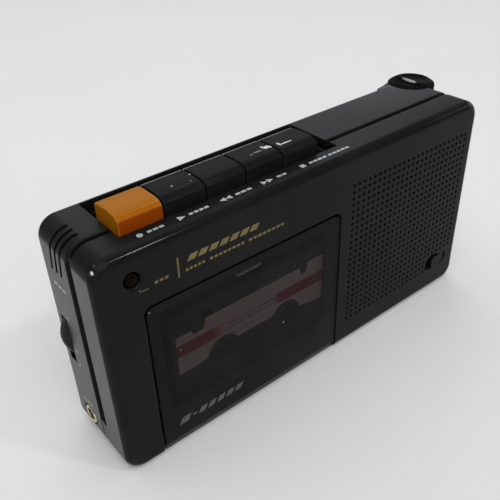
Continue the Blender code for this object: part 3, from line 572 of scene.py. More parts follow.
def box(name, x0, x1, y0, y1, z0, z1, mat=None):
    return prism(name, [(x0, z0), (x1, z0), (x1, z1), (x0, z1)], "XZ", y0, y1, mat)


def circle(cx, cy, radius, count):
    angles = [2 * math.pi * i / count for i in range(count)]
    return [(cx + radius * math.cos(a), cy + radius * math.sin(a)) for a in angles]


def bore(name, middle, radius, count, plane, start, end):
    """A plain cylinder, as a solid or a cutter."""
    return prism(name, circle(*middle, radius, count), plane, start, end)


def stepped_loops(middle, count, plane, steps):
    """Coaxial circles at (radius, height) steps."""
    return [lifted(circle(*middle, radius, count), plane, height) for radius, height in steps]


def stepped(name, middle, count, plane, steps):
    return loft(name, stepped_loops(middle, count, plane, steps), smooth=False)


def rounded(x0, x1, z0, z1, radius, segments):
    points = []
    for cx, cz, start in ((x1 - radius, z1 - radius, 0), (x0 + radius, z1 - radius, 90),
                          (x0 + radius, z0 + radius, 180), (x1 - radius, z0 + radius, 270)):
        for i in range(segments + 1):
            a = math.radians(start + 90 * i / segments)
            points.append((cx + radius * math.cos(a), cz + radius * math.sin(a)))
    return points


def turned(name, profile, middle, axis, mat=None, count=64, wobble=None):
    """A (radius, height) outline spun about an axis; wobble(radius, height, angle)
    shapes the rim. An outline that starts off the axis is closed into a ring."""
    verts, rings = [], []
    for radius, height in profile:
        ring = []
        for i in range(count if radius > 0 else 1):
            a = 2 * math.pi * i / count
            reach = radius + (wobble(radius, height, a) if wobble and radius > 0 else 0.0)
            u, v = reach * math.cos(a), reach * math.sin(a)
            p = {"Y": (u, height, v), "X": (height, u, v), "Z": (u, v, height)}[axis]
            ring.append(len(verts))
            verts.append([p[k] + middle[k] for k in range(3)])
        rings.append(ring)
    pairs = list(zip(rings, rings[1:]))
    if profile[0][0] > 0:
        pairs.append((rings[-1], rings[0]))
    faces = []
    for near, far in pairs:
        for i in range(count):
            j = (i + 1) % count
            if len(near) == 1:
                faces.append((near[0], far[j], far[i]))
            elif len(far) == 1:
                faces.append((near[i], near[j], far[0]))
            else:
                faces.append((near[i], near[j], far[j], far[i]))
    return make(name, verts, faces, mat)


def soften(ob, width):
    bevel = ob.modifiers.new("bevel", "BEVEL")
    bevel.width = width * MM
    bevel.segments = 2
    bevel.limit_method = "ANGLE"
    bevel.angle_limit = math.radians(40)
    bevel.use_clamp_overlap = True
    bevel.harden_normals = False


def shape(ob, adds=(), cuts=(), bevel=None, angle=32):
    """Runs unions then cuts on ob, keeps the result as its mesh and removes the tools."""
    for operation, tools in (("UNION", adds), ("DIFFERENCE", cuts)):
        for tool in tools:
            modifier = ob.modifiers.new(operation.lower(), "BOOLEAN")
            modifier.operation = operation
            modifier.object = tool
            modifier.solver = "EXACT"
    depsgraph = bpy.context.evaluated_depsgraph_get()
    mesh = bpy.data.meshes.new_from_object(ob.evaluated_get(depsgraph))
    ob.modifiers.clear()
    ob.data = mesh
    for tool in [*adds, *cuts]:
        bpy.data.objects.remove(tool, do_unlink=True)
    mesh.shade_smooth()
    mesh.set_sharp_from_angle(angle=math.radians(angle))
    if bevel:
        soften(ob, bevel)
    weighted = ob.modifiers.new("weighted", "WEIGHTED_NORMAL")
    weighted.keep_sharp = True
    weighted.weight = 100


def flared(name, outline, plane, surface, deep, out, chamfer):
    """A cutter whose mouth opens by a chamfer at the surface.

    outline(grow) gives the 2-D outline; surface is the face it cuts, deep its far end
    and out its near end outside."""
    step = chamfer if deep > surface else -chamfer
    stations = [(chamfer, out), (chamfer, surface), (0.0, surface + step), (0.0, deep)]
    return loft(name, [lifted(outline(grow), plane, a) for grow, a in stations], smooth=False)


def rect_flare(name, x0, x1, y0, y1, plane, surface, deep, out, radius, chamfer):
    def outline(grow):
        return rounded(x0 - grow, x1 + grow, y0 - grow, y1 + grow, radius + grow, 4)

    return flared(name, outline, plane, surface, deep, out, chamfer)


def attach(ob, body, *nodes, slot):
    if nodes:
        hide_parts(*nodes)
    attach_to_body(ob, body)


# ---- housing shells
def base_ring():
    """(x, z, normal x, normal z) round the housing, seen from the front."""
    ring = []

    def corner(cx, cz, start, segments=12):
        for i in range(segments + 1):
            a = math.radians(start + 90 * i / segments)
            out_x, out_z = math.cos(a), math.sin(a)
            ring.append((cx + CORNER_R * out_x, cz + CORNER_R * out_z, out_x, out_z))

    # the end stations crowd together where the groove starts
    heights = [44.0, 30.0, 14.0, 12.4, 11.8, 11.4, 11.1, 10.8, 10.5, 10.2, 9.9, 9.6, 9.3]
    corner(RIGHT - CORNER_R, TOP - CORNER_R, 0)
    corner(LEFT + CORNER_R, TOP - CORNER_R, 90)
    ring.extend((LEFT, z, -1.0, 0.0) for z in heights)
    corner(LEFT + CORNER_R, CORNER_R, 180)
    corner(RIGHT - CORNER_R, CORNER_R, 270)
    ring.extend((RIGHT, z, 1.0, 0.0) for z in reversed(heights))
    return ring


RING = base_ring()


def at_end(z):
    """0 along the top strip, 1 on the ends: the groove widens round the corners."""
    u = min(1.0, max(0.0, (TOP - z) / 6.5))
    return u * u * (3 - 2 * u)


def edge_rear(z):
    return -2.2 + 1.5 * at_end(z)


def in_groove(z):
    return min(1.0, max(0.0, (z - GROOVE_FOOT) / 1.4)) ** 0.5


def shell(name, profile, mat):
    """Lofts the ring through (inset, y) stations, each a number or a function of z."""
    def at(value, z):
        return value(z) if callable(value) else value

    loops = []
    for inset, y in profile:
        loops.append([(x - out_x * at(inset, z), at(y, z), z - out_z * at(inset, z))
                      for x, z, out_x, out_z in RING])
    return loft(name, loops, mat)


def groove(depth, floor=0.0):
    return lambda z: max(floor, depth * in_groove(z))


def beside_front(offset):
    """y at an offset from the groove's front edge."""
    return lambda z: -3.65 + 0.1 * at_end(z) + offset


def rear_groove(part):
    return lambda z: max(0.12, GROOVE_DEPTH * in_groove(z) * at_end(z)) * part


def beside_rear(offset, base, least):
    """y at an offset from the groove's rear edge, kept past the seam."""
    start = SEAM_REAR + base
    return lambda z: start + max(least, edge_rear(z) + offset - SEAM_REAR - base)


def well_cutter(name):
    return rect_flare(name, *KEY_WELL, "XY", TOP, TOP - 3.4, TOP + 1.0,
                      radius=0.5, chamfer=0.18)


# ---- front housing
profile = []
for k in range(10):
    a = math.radians(90 - 10 * k)
    profile.append((FRONT_ROUND * (1 - math.cos(a)), FRONT + FRONT_ROUND * (1 - math.sin(a))))
profile += [
    (0.0, beside_front(-0.35)),
    (groove(0.08), beside_front(-0.08)),
    (groove(0.22), beside_front(0.02)),
    (groove(GROOVE_DEPTH * 0.8), beside_front(0.12)),
    (groove(GROOVE_DEPTH), beside_front(0.32)),
    (groove(GROOVE_DEPTH), SEAM_FRONT - 0.12),
    (groove(GROOVE_DEPTH + 0.1, 0.12), SEAM_FRONT),
    (WALL, SEAM_FRONT),
    (WALL, FRONT + WALL + 1.0),
    (WALL + 0.3, FRONT + WALL + 0.3),
    (WALL + 1.0, FRONT + WALL),
]
front = shell("front_shell", profile, MATS["housing"])

DOOR_GAP_LEFT, DOOR_GAP_RIGHT = DOOR_LEFT - 0.45, DOOR_RIGHT + 0.42
boss = [(0, FRONT + 1.0), (3.1, FRONT + 1.0), (3.1, FRONT + WALL + 0.4),
        (2.5, FRONT + WALL + 1.2), (2.4, SEAM_FRONT - 0.3), (2.2, SEAM_FRONT), (0, SEAM_FRONT)]
adds = [turned("t_boss", boss, (x, 0, z), "Y", count=28) for x, z in SCREWS]
adds.append(turned("t_cup", [(0, FRONT + 1.0), (5.6, FRONT + 1.0), (5.6, -7.4), (5.3, -7.1),
                             (0, -7.1)], (EYE_X, 0, EYE_Z), "Y", count=40))
for x0, x1 in ((-54.8, -52.2), (7.4, 10.0)):
    adds.append(box("t_lug", x0, x1, FRONT + 1.0, -8.3, 1.0, 5.2))


def door_outline(grow):
    return rounded(DOOR_GAP_LEFT - grow, DOOR_GAP_RIGHT + grow, -6.0, DOOR_TOP + 0.6 + grow,
                   2.4 + grow, 8)


# door opening, with a softened lip, and its break through the bottom edge
cuts = [
    flared("t_door", door_outline, "XZ", FRONT, FRONT + WALL + 0.4, FRONT - 1.0, 0.14),
    box("t_door_bottom", DOOR_GAP_LEFT, DOOR_GAP_RIGHT, FRONT - 1.0, -7.4, -1.0, 6.2),
    box("t_spring_seat", -58.0, -54.7, -11.95, -8.0, 1.2, 4.4),
    bore("t_lug_bore", (HINGE_Y, HINGE_Z), 0.9, 24, "YZ", -56, 11),
    well_cutter("t_well"),
    # record lamp: a countersunk hole
    stepped("t_lamp", (LAMP_X, LAMP_Z), 40, "XZ", (
        (2.75, FRONT - 1), (2.75, FRONT), (2.15, FRONT + 0.35), (1.95, FRONT + 0.7),
        (1.95, FRONT + WALL + 1))),
]
# speaker grille: a square field of round holes that stops short of the strap eye
GRILLE_X, GRILLE_Z, GRILLE_PITCH = 11.4, 8.9, 1.905
GRILLE_COLUMNS, GRILLE_ROWS = 25, 24
HOLE = ((0.6, FRONT - 0.4), (0.6, FRONT + 0.001), (0.47, FRONT + 0.13),
        (0.47, FRONT + WALL + 0.4))
blocks = []
for i in range(GRILLE_COLUMNS):
    for j in range(GRILLE_ROWS):
        x, z = GRILLE_X + i * GRILLE_PITCH, GRILLE_Z + j * GRILLE_PITCH
        if x <= 46.2 or z >= 13.6:
            blocks.append(tube_block(stepped_loops((x, z), 14, "XZ", HOLE)))
cuts.append(merged("t_grille", blocks))
# strap eye: an arched mouth on the left and a slim crescent on the right of a moulded
# post, as x, z outlines
ARCH = [
    (46.9, 8.6), (47.0, 10.9), (47.25, 12.2), (47.9, 13.1), (49.0, 13.5), (50.6, 13.5),
    (52.6, 12.9), (52.9, 11.95), (51.7, 12.1), (50.7, 12.05), (50.15, 11.4), (50.0, 10.1),
    (50.1, 9.0), (50.3, 8.0),
]
CRESCENT = [
    (55.8, 12.9), (56.5, 11.5), (56.7, 10.1), (56.1, 9.0), (54.9, 8.3), (53.5, 8.4),
    (54.6, 9.0), (55.2, 9.9), (55.4, 11.2), (55.4, 12.2),
]


def eye_cutter(name, points, depth):
    """Cuts an outline whose mouth grows outwards from its mean point."""
    cx = sum(x for x, z in points) / len(points)
    cz = sum(z for x, z in points) / len(points)

    def outline(grow):
        result = []
        for x, z in points:
            reach = max(0.5, math.hypot(x - cx, z - cz))
            result.append((x + grow * (x - cx) / reach, z + grow * (z - cz) / reach))
        return result

    return flared(name, outline, "XZ", FRONT, FRONT + depth, FRONT - 1.0, 0.2)


cuts.append(eye_cutter("t_arch", ARCH, 2.3))
cuts.append(eye_cutter("t_crescent", CRESCENT, 0.55))
cuts.append(turned("t_under", [(0, FRONT + 1.6), (4.5, FRONT + 1.6), (4.5, -8.4), (0, -8.4)],
                   (EYE_X, 0, EYE_Z), "Y", count=40))
for screw in SCREWS:
    cuts.append(bore("t_screw", screw, 1.15, 20, "XZ", FRONT + 3.0, 0.0))
shape(front, adds, cuts)
attach(front, "casing", "front_housing", slot="housing")

# ---- rear housing
profile = [
    (WALL + 1.0, BACK - WALL),
    (WALL + 0.3, BACK - WALL - 0.3),
    (WALL, BACK - WALL - 1.0),
    (WALL, SEAM_REAR),
    (lambda z: rear_groove(1.0)(z) + 0.05, SEAM_REAR),
    (rear_groove(1.0), SEAM_REAR + 0.06),
    (rear_groove(1.0), beside_rear(-0.3, 0.06, 0.02)),
    (rear_groove(0.8), beside_rear(-0.15, 0.1, 0.04)),
    (rear_groove(0.25), beside_rear(-0.04, 0.16, 0.06)),
    (rear_groove(0.08), beside_rear(0.06, 0.24, 0.08)),
    (0.0, beside_rear(0.35, 0.4, 0.1)),
]
for k in range(9):
    a = math.radians(11.25 * k)
    profile.append((BACK_ROUND * (1 - math.cos(a)), BACK - BACK_ROUND * (1 - math.sin(a))))
rear = shell("rear_shell", profile, MATS["rear"])

# corner lug under the dial: a flared plate (x, y) with rounded rims
LUG = [
    (48.0, 10.0), (48.6, BACK - 0.2), (50.4, 13.2), (52.6, 14.0), (54.4, 14.8), (56.1, 15.3),
    (57.8, 15.7), (59.3, 15.85), (60.9, 15.7), (62.3, 15.1), (63.5, 14.2), (64.3, 13.1),
    (64.9, 11.7), (65.1, 10.1), (65.0, 8.4), (64.5, 6.9), (63.9, 5.6), (63.1, 4.6),
    (62.4, 3.2), (RIGHT - 0.2, 1.6), (58.0, 1.6),
]
LUG_STATIONS = (  # z, scale about the dial's axis
    (54.6, 0.9), (54.7, 0.93), (55.3, 0.985), (55.9, 1.0), (58.2, 1.0), (58.65, 0.99),
    (58.8, 0.97),
)
FAIRING = [  # x, y above the lug
    (46.6, BACK - 0.4), (47.6, BACK + 0.05), (49.6, 13.15), (51.8, 13.75), (54.2, 14.6),
    (56.6, 15.3), (58.4, 14.4), (58.0, 11.0), (50.0, 11.0),
]
adds = [
    loft("t_lug", [[(DIAL_X + (x - DIAL_X) * scale, DIAL_Y + (y - DIAL_Y) * scale, z)
                    for x, y in LUG] for z, scale in LUG_STATIONS]),
    prism("t_fairing", FAIRING, "XY", 58.0, TOP - 0.1),
]
boss = [(0, SEAM_REAR), (2.4, SEAM_REAR), (2.6, SEAM_REAR + 0.3), (2.6, BACK - WALL - 0.8),
        (3.2, BACK - WALL - 0.1), (3.2, BACK - 1.0), (0, BACK - 1.0)]
adds += [turned("t_rboss", boss, (x, 0, z), "Y", count=28) for x, z in SCREWS]

cover_lo, cover_hi = mm("battery_cover")
cover_x0, cover_x1, cover_y1 = cover_lo[0], cover_hi[0], cover_hi[1]
cover_z0, cover_z1 = cover_lo[2], cover_hi[2]
# three microphone slots that lean forward a little as they wrap on to the top
SLOT = [(-63.5, 63.5), (-63.5, 51.5), (-59.6, 51.5), (-57.4, 53.6), (-57.4, 63.5)]  # x, z
slots = [tube_block([[(x, y + half - 0.24 * (z - 52.0), z) for x, z in SLOT]
                     for half in (-0.48, 0.48)]) for y in (2.8, 5.0, 7.3)]
WHEEL_MOUTH = [  # x, z
    (-64.0, 23.8), (-64.0, 37.4), (-61.9, 37.4), (-60.0, 39.3), (-58.6, 39.3), (-58.6, 23.2),
    (-60.0, 23.2), (-61.9, 23.8),
]
cuts = [
    well_cutter("t_well_r"),
    merged("t_mic", slots),
    prism("t_wheel", WHEEL_MOUTH, "XZ", WHEEL_Y0 - 0.75, WHEEL_Y1 + 0.3),
    flared("t_jack", lambda grow: circle(JACK_Y, JACK_Z, 2.9 + grow, 40), "YZ", LEFT,
           LEFT + 3.0, LEFT - 1.0, 0.3),
    box("t_cover_back", cover_x0 - 0.3, 63.5, BACK - WALL - 0.3, BACK + 1,
        cover_z0 - 0.3, cover_z1 + 0.3),
    box("t_cover_end", RIGHT - 3.0, RIGHT + 1.5, 8.0, BACK + 1,
        cover_z0 - 0.3, cover_z1 + 0.3),
    stepped("t_dial", (DIAL_X, DIAL_Y), 64, "XY", (
        (DIAL_R + 0.32, 59.0), (DIAL_R + 0.32, TOP - 0.3), (DIAL_R + 0.62, TOP),
        (DIAL_R + 0.62, 64.0))),
    bore("t_dial_bore", (DIAL_X, DIAL_Y), 1.6, 24, "XY", 50.0, 60.0),
]
for screw in SCREWS:
    cuts.append(bore("t_rscrew", screw, 1.2, 20, "XZ", -4.0, BACK + 1))
    cuts.append(stepped("t_rseat", screw, 32, "XZ", (
        (2.3, BACK - 1.9), (2.3, BACK - 0.25), (2.55, BACK), (2.55, BACK + 1))))
shape(rear, adds, cuts)
attach(rear, "casing", "rear_housing", slot="housing")

# ---- battery cover: a lid on the back with a lip round the right end
cover = box("battery_lid", cover_x0, cover_x1 - 0.01, cover_y1 - 1.5, cover_y1,
            cover_z0, cover_z1, MATS["rear"])
lip = box("t_lip", cover_x1 - 1.5, cover_x1, cover_lo[1], cover_y1 - 0.5, cover_z0, cover_z1)
GRIP = (  # half width, growth at each end, y
    (0.12, -0.2, cover_y1 - 0.5), (0.42, 0.1, cover_y1 + 0.01), (0.42, 0.1, cover_y1 + 1.0),
)
grips = []
for i in range(6):
    x = cover_x0 + 3.2 + 1.5 * i
    grips.append(tube_block([
        [(x - half, y, 19.0 - grow), (x - half, y, 31.0 + grow),
         (x + half, y, 31.0 + grow), (x + half, y, 19.0 - grow)] for half, grow, y in GRIP]))
grips = merged("t_grips", grips)
arrow = prism("t_arrow", [(cover_x0 + 14.0, 23.0), (cover_x0 + 17.2, 25.0),
                          (cover_x0 + 14.0, 27.0)], "XZ", cover_y1 - 0.3, cover_y1 + 1.0)
shape(cover, [lip], [grips, arrow], bevel=0.18)
attach(cover, "cover", "battery_cover", slot="housing")


# ---- cassette door: a smoked pane over a frame, both curled round the hinge
def top_of(x):
    """Top edge of the door, rounded by 2 mm at its corners."""
    d = min(x - DOOR_LEFT, DOOR_RIGHT - x)
    if d >= 2.0:
        return DOOR_TOP
    return DOOR_TOP - (2.0 - math.sqrt(max(0.0, 4.0 - (2.0 - d) ** 2)))


def round_hinge(radius, degrees):
    a = math.radians(degrees)
    return (HINGE_Y + radius * math.cos(a), HINGE_Z + radius * math.sin(a))


def pane_section(x, shrink):
    """Closed (y, z) outline of the pane at x."""
    top = top_of(x) - shrink - 0.25
    outer_y, inner_y = FRONT + shrink, FRONT + 0.88 - shrink
    chamfer = 0.22
    middle = (top + HINGE_Z) / 2
    curl = [180 + 8.0 * k for k in range(11)]
    return [
        (outer_y + chamfer, top), (outer_y, top - chamfer), (outer_y, middle),
        *[round_hinge(2.5 - shrink, degrees) for degrees in curl],
        *[round_hinge(1.62 + shrink, degrees) for degrees in reversed(curl)],
        (inner_y, middle), (inner_y, top),
    ]


def frame_section(x):
    """Closed (y, z) outline of the frame at x."""
    top, inner_y, radius = top_of(x) - 0.6, FRONT + 1.6, 1.6
    points = [(FRONT + 0.9, top)]
    for k in range(23):
        degrees = 180 + 238.0 * k / 22
        point = round_hinge(radius, degrees)
        if point[0] < inner_y or degrees < 300:
            points.append(point)
    rise = math.sqrt(max(0.01, radius * radius - (inner_y - HINGE_Y) ** 2))
    return points + [(inner_y, HINGE_Z + rise), (inner_y, top)]


def door_stations(inset):
    near = (0.6, 1.0, 1.5, 2.0, 3.0)
    left, right = DOOR_LEFT + inset, DOOR_RIGHT - inset
    return [left, left + 0.08, left + 0.25, *[DOOR_LEFT + d for d in near],
            *[DOOR_LEFT + 15.0 * k for k in (1, 2, 3)],
            *[DOOR_RIGHT - d for d in reversed(near)], right - 0.25, right - 0.08, right]


PANE_SHRINK = [0.2, 0.06] + [0.0] * 15 + [0.06, 0.2]  # one per station
pane = loft("door_pane", [lifted(pane_section(x, shrink), "YZ", x)
                          for x, shrink in zip(door_stations(0.12), PANE_SHRINK)],
            smoked_material())
attach(pane, "door", "door_window", slot="smoked_window")
window_lo, window_hi = mm("door_window")
door_frame = loft("door_frame", [lifted(frame_section(x), "YZ", x)
                                 for x in door_stations(0.4)], MATS["door_frame"])
hinge = (HINGE_Y, HINGE_Z)
shape(door_frame, cuts=[
    rect_flare("t_window", window_lo[0] - 0.3, window_hi[0] + 0.3, window_lo[2] - 0.3,
               window_hi[2] + 0.3, "XZ", FRONT + 0.9, FRONT + 2.4, FRONT + 0.2,
               radius=1.2, chamfer=0.15),
    bore("t_bore_l", hinge, 1.0, 20, "YZ", DOOR_LEFT - 1, DOOR_LEFT + 9.0),
    bore("t_bore_r", hinge, 1.0, 20, "YZ", DOOR_RIGHT - 9.0, DOOR_RIGHT + 1),
    box("t_notch_l", -56.0, -51.9, FRONT + 0.5, -7.5, -0.5, 5.5),
    box("t_notch_r", 7.1, 11.5, FRONT + 0.5, -7.5, -0.5, 5.5),
])
attach(door_frame, "door", "cassette_door", slot="door")

# ---- keys
KEYS = (  # node, material, body, slot
    ("record_key", "orange", "record_lever", "orange_key"),
    ("play_key", "play", "play_lever", "black_key"),
    ("rewind_key", "key", "rewind_lever", "black_key"),
    ("fast_forward_key", "forward", "fast_forward_lever", "black_key"),
    ("stop_eject_key", "stop", "stop_lever", "black_key"),
)
KEY_FRONT = -6.05
# distance from the key's side, shrink of the section there
KEY_ROUNDING = ((0.0, 0.3), (0.05, 0.16), (0.16, 0.05), (0.32, 0.0))


def key_section(x, shrink, side):
    """The (y, z) side outline drawn in towards a point inside the cap."""
    cy, cz = -1.2, 63.2
    loop = []
    for y, z in side:
        k = 1 - shrink / math.hypot(y - cy, z - cz)
        loop.append((x, cy + (y - cy) * k, cz + (z - cz) * k))
    return loop


def build_key(name, mat, body, slot):
    lo, hi = mm(name)
    x0, x1, top, back = lo[0], hi[0], hi[2], hi[1]
    side = [
        (KEY_FRONT, 60.4), (KEY_FRONT, top - 1.3), (KEY_FRONT + 0.05, top - 1.12),
        (KEY_FRONT + 0.18, top - 0.98), (-4.75, top - 0.28), (-4.4, top - 0.16),
        (-3.6, top - 0.06), (-1.5, top), (1.0, top - 0.08), (2.8, top - 0.32),
        (3.5, top - 0.5), (3.85, top - 0.75), (back, top - 1.1), (back, 61.35),
        (-3.1, 61.2), (-3.3, 60.4),
    ]
    middle = (x0 + x1) / 2
    stations = [(x0 + d, shrink) for d, shrink in KEY_ROUNDING] + [(middle, 0.0)]
    stations += [(x1 - d, shrink) for d, shrink in reversed(KEY_ROUNDING)]
    key = loft(f"{name}_cap", [key_section(x, shrink, side) for x, shrink in stations],
               MATS[mat], angle=24)
    arm = box("t_arm", middle - 3.0, middle + 3.0, -5.6, -3.5, 56.2, 61.9)
    barrel = bore("t_barrel", KEY_AXIS, 1.7, 32, "YZ", middle - 3.0, middle + 3.0)
    hole = bore("t_bore", KEY_AXIS, 1.1, 24, "YZ", middle - 5.0, middle + 5.0)
    shape(key, [arm, barrel], [hole], angle=24)
    attach(key, body, name, slot=slot)


for row in KEYS:
    build_key(*row)

# ---- corner dial
dial_top = dial_hi[2]


def dial_knurl(radius, height, a):
    if radius < DIAL_R - 0.35 or height < 59.4:
        return 0.0
    return -0.14 * (1 - math.cos(36 * a))


dial = turned("corner_dial", [
    (0, dial_top - 0.8), (2.0, dial_top - 0.8), (3.6, dial_top - 0.72), (4.4, dial_top - 0.5),
    (4.9, dial_top - 0.2), (5.2, dial_top - 0.06), (5.6, dial_top - 0.02),
    (5.9, dial_top - 0.2), (6.3, dial_top - 0.48), (DIAL_R - 0.3, dial_top - 0.68),
    (DIAL_R, dial_top - 0.95), (DIAL_R, 59.65), (DIAL_R - 0.25, 59.3), (1.25, 59.3),
    (1.25, dial_lo[2]), (0, dial_lo[2]),
], (DIAL_X, DIAL_Y, 0), "Z", MATS["dial"], count=216, wobble=dial_knurl)
RIDGE_SECTION = (  # x from the dial's centre, z from its top
    (-1.0, -1.0), (-1.0, -0.35), (-0.8, -0.05), (-0.45, 0.05), (0.45, 0.05), (0.8, -0.05),
    (1.0, -0.35), (1.0, -1.0),
)
RIDGE_STATIONS = (  # y from the dial's centre, width factor
    (-4.9, 0.35), (-4.5, 0.7), (-3.0, 0.95), (0.0, 1.0), (3.0, 0.95), (4.5, 0.7), (4.9, 0.35),
)
ridge = loft("t_ridge", [[(DIAL_X + x * width, DIAL_Y + y, dial_top + z)
                          for x, z in RIDGE_SECTION] for y, width in RIDGE_STATIONS])
shape(dial, [ridge])
attach(dial, "speed", "speed_dial", slot="black_key")


# ---- volume wheel
def wheel_knurl(radius, height, a):
    if radius <= WHEEL_R - 0.6:
        return 0.0
    if WHEEL_Y0 + 0.25 < height < WHEEL_Y1 - 0.25:
        return -0.11 * (1 - math.cos(64 * a))
    return -0.15


WHEEL_HALF = (  # radius, depth below the face
    (1.5, 0.15), (1.7, 0.0), (WHEEL_R - 1.6, 0.0), (WHEEL_R - 1.3, 0.12),
    (WHEEL_R - 0.55, 0.12), (WHEEL_R - 0.2, 0.22), (WHEEL_R, 0.4),
)
profile = [(radius, WHEEL_Y0 + depth) for radius, depth in WHEEL_HALF]
profile += [(radius, WHEEL_Y1 - depth) for radius, depth in reversed(WHEEL_HALF)]
wheel = turned("volume_disc", profile, (WHEEL_X, 0, WHEEL_Z), "Y", MATS["wheel"],
               count=256, wobble=wheel_knurl)
attach(wheel, "volume", "volume_wheel", slot="black_key")

# ---- record lamp and earphone jack
lens = turned("record_lens", [
    (0, -0.22), (0.5, -0.2), (1.0, -0.08), (1.35, 0.12), (1.6, 0.4), (1.7, 0.7), (1.7, 1.9),
    (2.4, 1.9), (2.5, 2.0), (2.5, 3.0), (0, 3.0),
], (LAMP_X, FRONT + 0.35, LAMP_Z), "Y", lamp_material(), count=40)
attach(lens, "casing", "record_lamp", slot="red_lens")

jack_x = mm("earphone_jack")[0][0]
jack = turned("jack_barrel", [
    (1.8, jack_x + 0.12), (1.95, jack_x), (2.35, jack_x), (2.55, jack_x + 0.2),
    (2.55, jack_x + 2.4), (2.9, jack_x + 2.4), (2.9, jack_x + 12.1), (1.8, jack_x + 12.1),
], (0, JACK_Y, JACK_Z), "X", MATS["jack"], count=48)
attach(jack, "casing", "earphone_jack", slot="brass")

# ---- cassette
(cx0, cy0, cz0), (cx1, cy1, cz1) = mm("cassette_shell")
cassette_mid = (cy0 + cy1) / 2
CASSETTE_STATIONS = (  # y, inset; the middle one is the seam line
    (cy0, 0.55), (cy0 + 0.12, 0.25), (cy0 + 0.4, 0.05), (cy0 + 0.7, 0.0),
    (cassette_mid - 0.1, 0.0), (cassette_mid, 0.12), (cassette_mid + 0.1, 0.0),
    (cy1 - 0.7, 0.0), (cy1 - 0.4, 0.05), (cy1 - 0.12, 0.25), (cy1, 0.55),
)
cassette = loft("cassette_body", [
    lifted(rounded(cx0 + inset, cx1 - inset, cz0 + inset, cz1 - inset, 1.5 - inset * 0.9, 6),
           "XZ", y) for y, inset in CASSETTE_STATIONS], MATS["cassette"])
cuts = [
    box("t_cavity", cx0 + 1.2, cx1 - 1.2, cy0 + 1.2, cy1 - 1.2, cz0 + 1.4, cz1 - 1.6),
    box("t_head", -26.0, -14.0, cy0 + 1.2, cy1 - 1.2, 34.0, 38.6),
    box("t_roll", -9.6, -1.6, cy0 + 1.0, cy1 - 1.0, 34.0, 38.6),
    bore("t_cap1", (-5.6, 33.9), 1.6, 28, "XZ", -12, 0),
    bore("t_cap2", (-34.4, 33.9), 1.6, 28, "XZ", -12, 0),
    rect_flare("t_view", -25.2, -14.8, 17.6, 21.8, "XZ", cy0, cy0 + 0.5, cy0 - 0.5,
               radius=0.8, chamfer=0.2),
]
for x in (HUB_LEFT, HUB_RIGHT):
    cuts.append(stepped("t_hub", (x, HUB_Z), 40, "XZ", (
        (4.4, cy0 - 1), (4.4, cy0), (4.1, cy0 + 0.3), (3.3, cy0 + 0.3), (3.3, 0.5))))
for middle in ((cx0 + 2.6, cz0 + 2.6), (cx1 - 2.6, cz0 + 2.6), (cx0 + 2.6, cz1 - 2.6),
               (cx1 - 2.6, cz1 - 2.6), (-20.0, cz0 + 2.6)):
    cuts.append(bore("t_cs", middle, 0.95, 20, "XZ", cy0 - 1, cy0 + 0.45))
shape(cassette, cuts=cuts)
attach(cassette, "casing", "cassette_shell", slot="cassette")

# paper label: a band with round bites over the hubs
BITE_R = 4.95


def bite(hub_x, start_z, end_z):
    start = math.pi - math.asin((start_z - HUB_Z) / BITE_R)
    end = math.asin((end_z - HUB_Z) / BITE_R)
    angles = [start + (end - start) * k / 16 for k in range(17)]
    return [(hub_x + BITE_R * math.cos(a), HUB_Z + BITE_R * math.sin(a)) for a in angles]


label_x0, label_x1 = cx0 + 1.3, cx1 - 1.4
outline = [
    (label_x0, 20.2), (label_x0 + 5.0, 20.2),
    *bite(HUB_LEFT, 20.6, 22.3), *bite(HUB_RIGHT, 22.3, 20.6),
    (-1.5, 20.2), (label_x1, 19.4), (label_x1, 33.7), (label_x1 - 0.3, 34.0), (-1.9, 34.0),
    (-2.3, 31.0), (-4.3, 31.0), (-4.8, 33.3), (-35.1, 33.3), (-35.7, 30.4), (-38.7, 30.4),
    (-39.2, 31.7), (label_x0, 31.7),
]
label = prism("cassette_label", outline, "XZ", cy0 - 0.09, cy0 + 0.05, label_material())
attach(label, "casing", slot="cassette")


def hub_teeth(radius, height, a):
    return -0.55 if radius < 3.3 and math.cos(6 * a) > 0.72 else 0.0


def mirrored(half, y0, y1):
    """Closed outline from (radius, depth) points below both faces of a disc."""
    return ([(radius, y0 + depth) for radius, depth in half]
            + [(radius, y1 - depth) for radius, depth in reversed(half)])


for side, x in (("supply", HUB_LEFT), ("takeup", HUB_RIGHT)):
    lo, hi = mm(f"{side}_reel")
    pack = (hi[0] - lo[0]) / 2
    middle = (x, 0, HUB_Z)
    profile = mirrored([(4.3, 0.6), (4.5, 0.5), (pack - 0.15, 0.5), (pack, 0.65)],
                       lo[1], hi[1])
    tape = turned(f"{side}_tape", profile, middle, "Y", tape_material(), count=96)
    attach(tape, side, f"{side}_reel", slot="tape")
    profile = mirrored([(3.15, 0.1), (3.35, 0.0), (4.1, 0.0), (4.2, 0.1)], lo[1], hi[1])
    hub = turned(f"{side}_hub", profile, middle, "Y", MATS["white"], count=120,
                 wobble=hub_teeth)
    attach(hub, side, slot="white_plastic")


# ---- printed marks
def marks(name, shapes, plane, surface, mat, direction, body="casing", slot="housing"):
    """Thin printed shapes on a face; direction is +1 or -1 along the face's axis."""
    low, high = surface - direction * 0.03, surface + direction * 0.035
    ob = merged(name, [tube_block([lifted(points, plane, low), lifted(points, plane, high)])
                       for points in shapes])
    ob.data.materials.append(MATS[mat])
    attach(ob, body, slot=slot)


def bar(x0, x1, c, height, lean=0.0):
    low, high = c - height / 2, c + height / 2
    return [(x0 - lean, low), (x1 - lean, low), (x1 + lean, high), (x0 + lean, high)]


def triangle(x0, x1, c, height):
    """A triangle from its base at x0 to its tip at x1."""
    low, high = (x0, c - height / 2), (x0, c + height / 2)
    return [low, (x1, c), high] if x1 > x0 else [high, (x1, c), low]


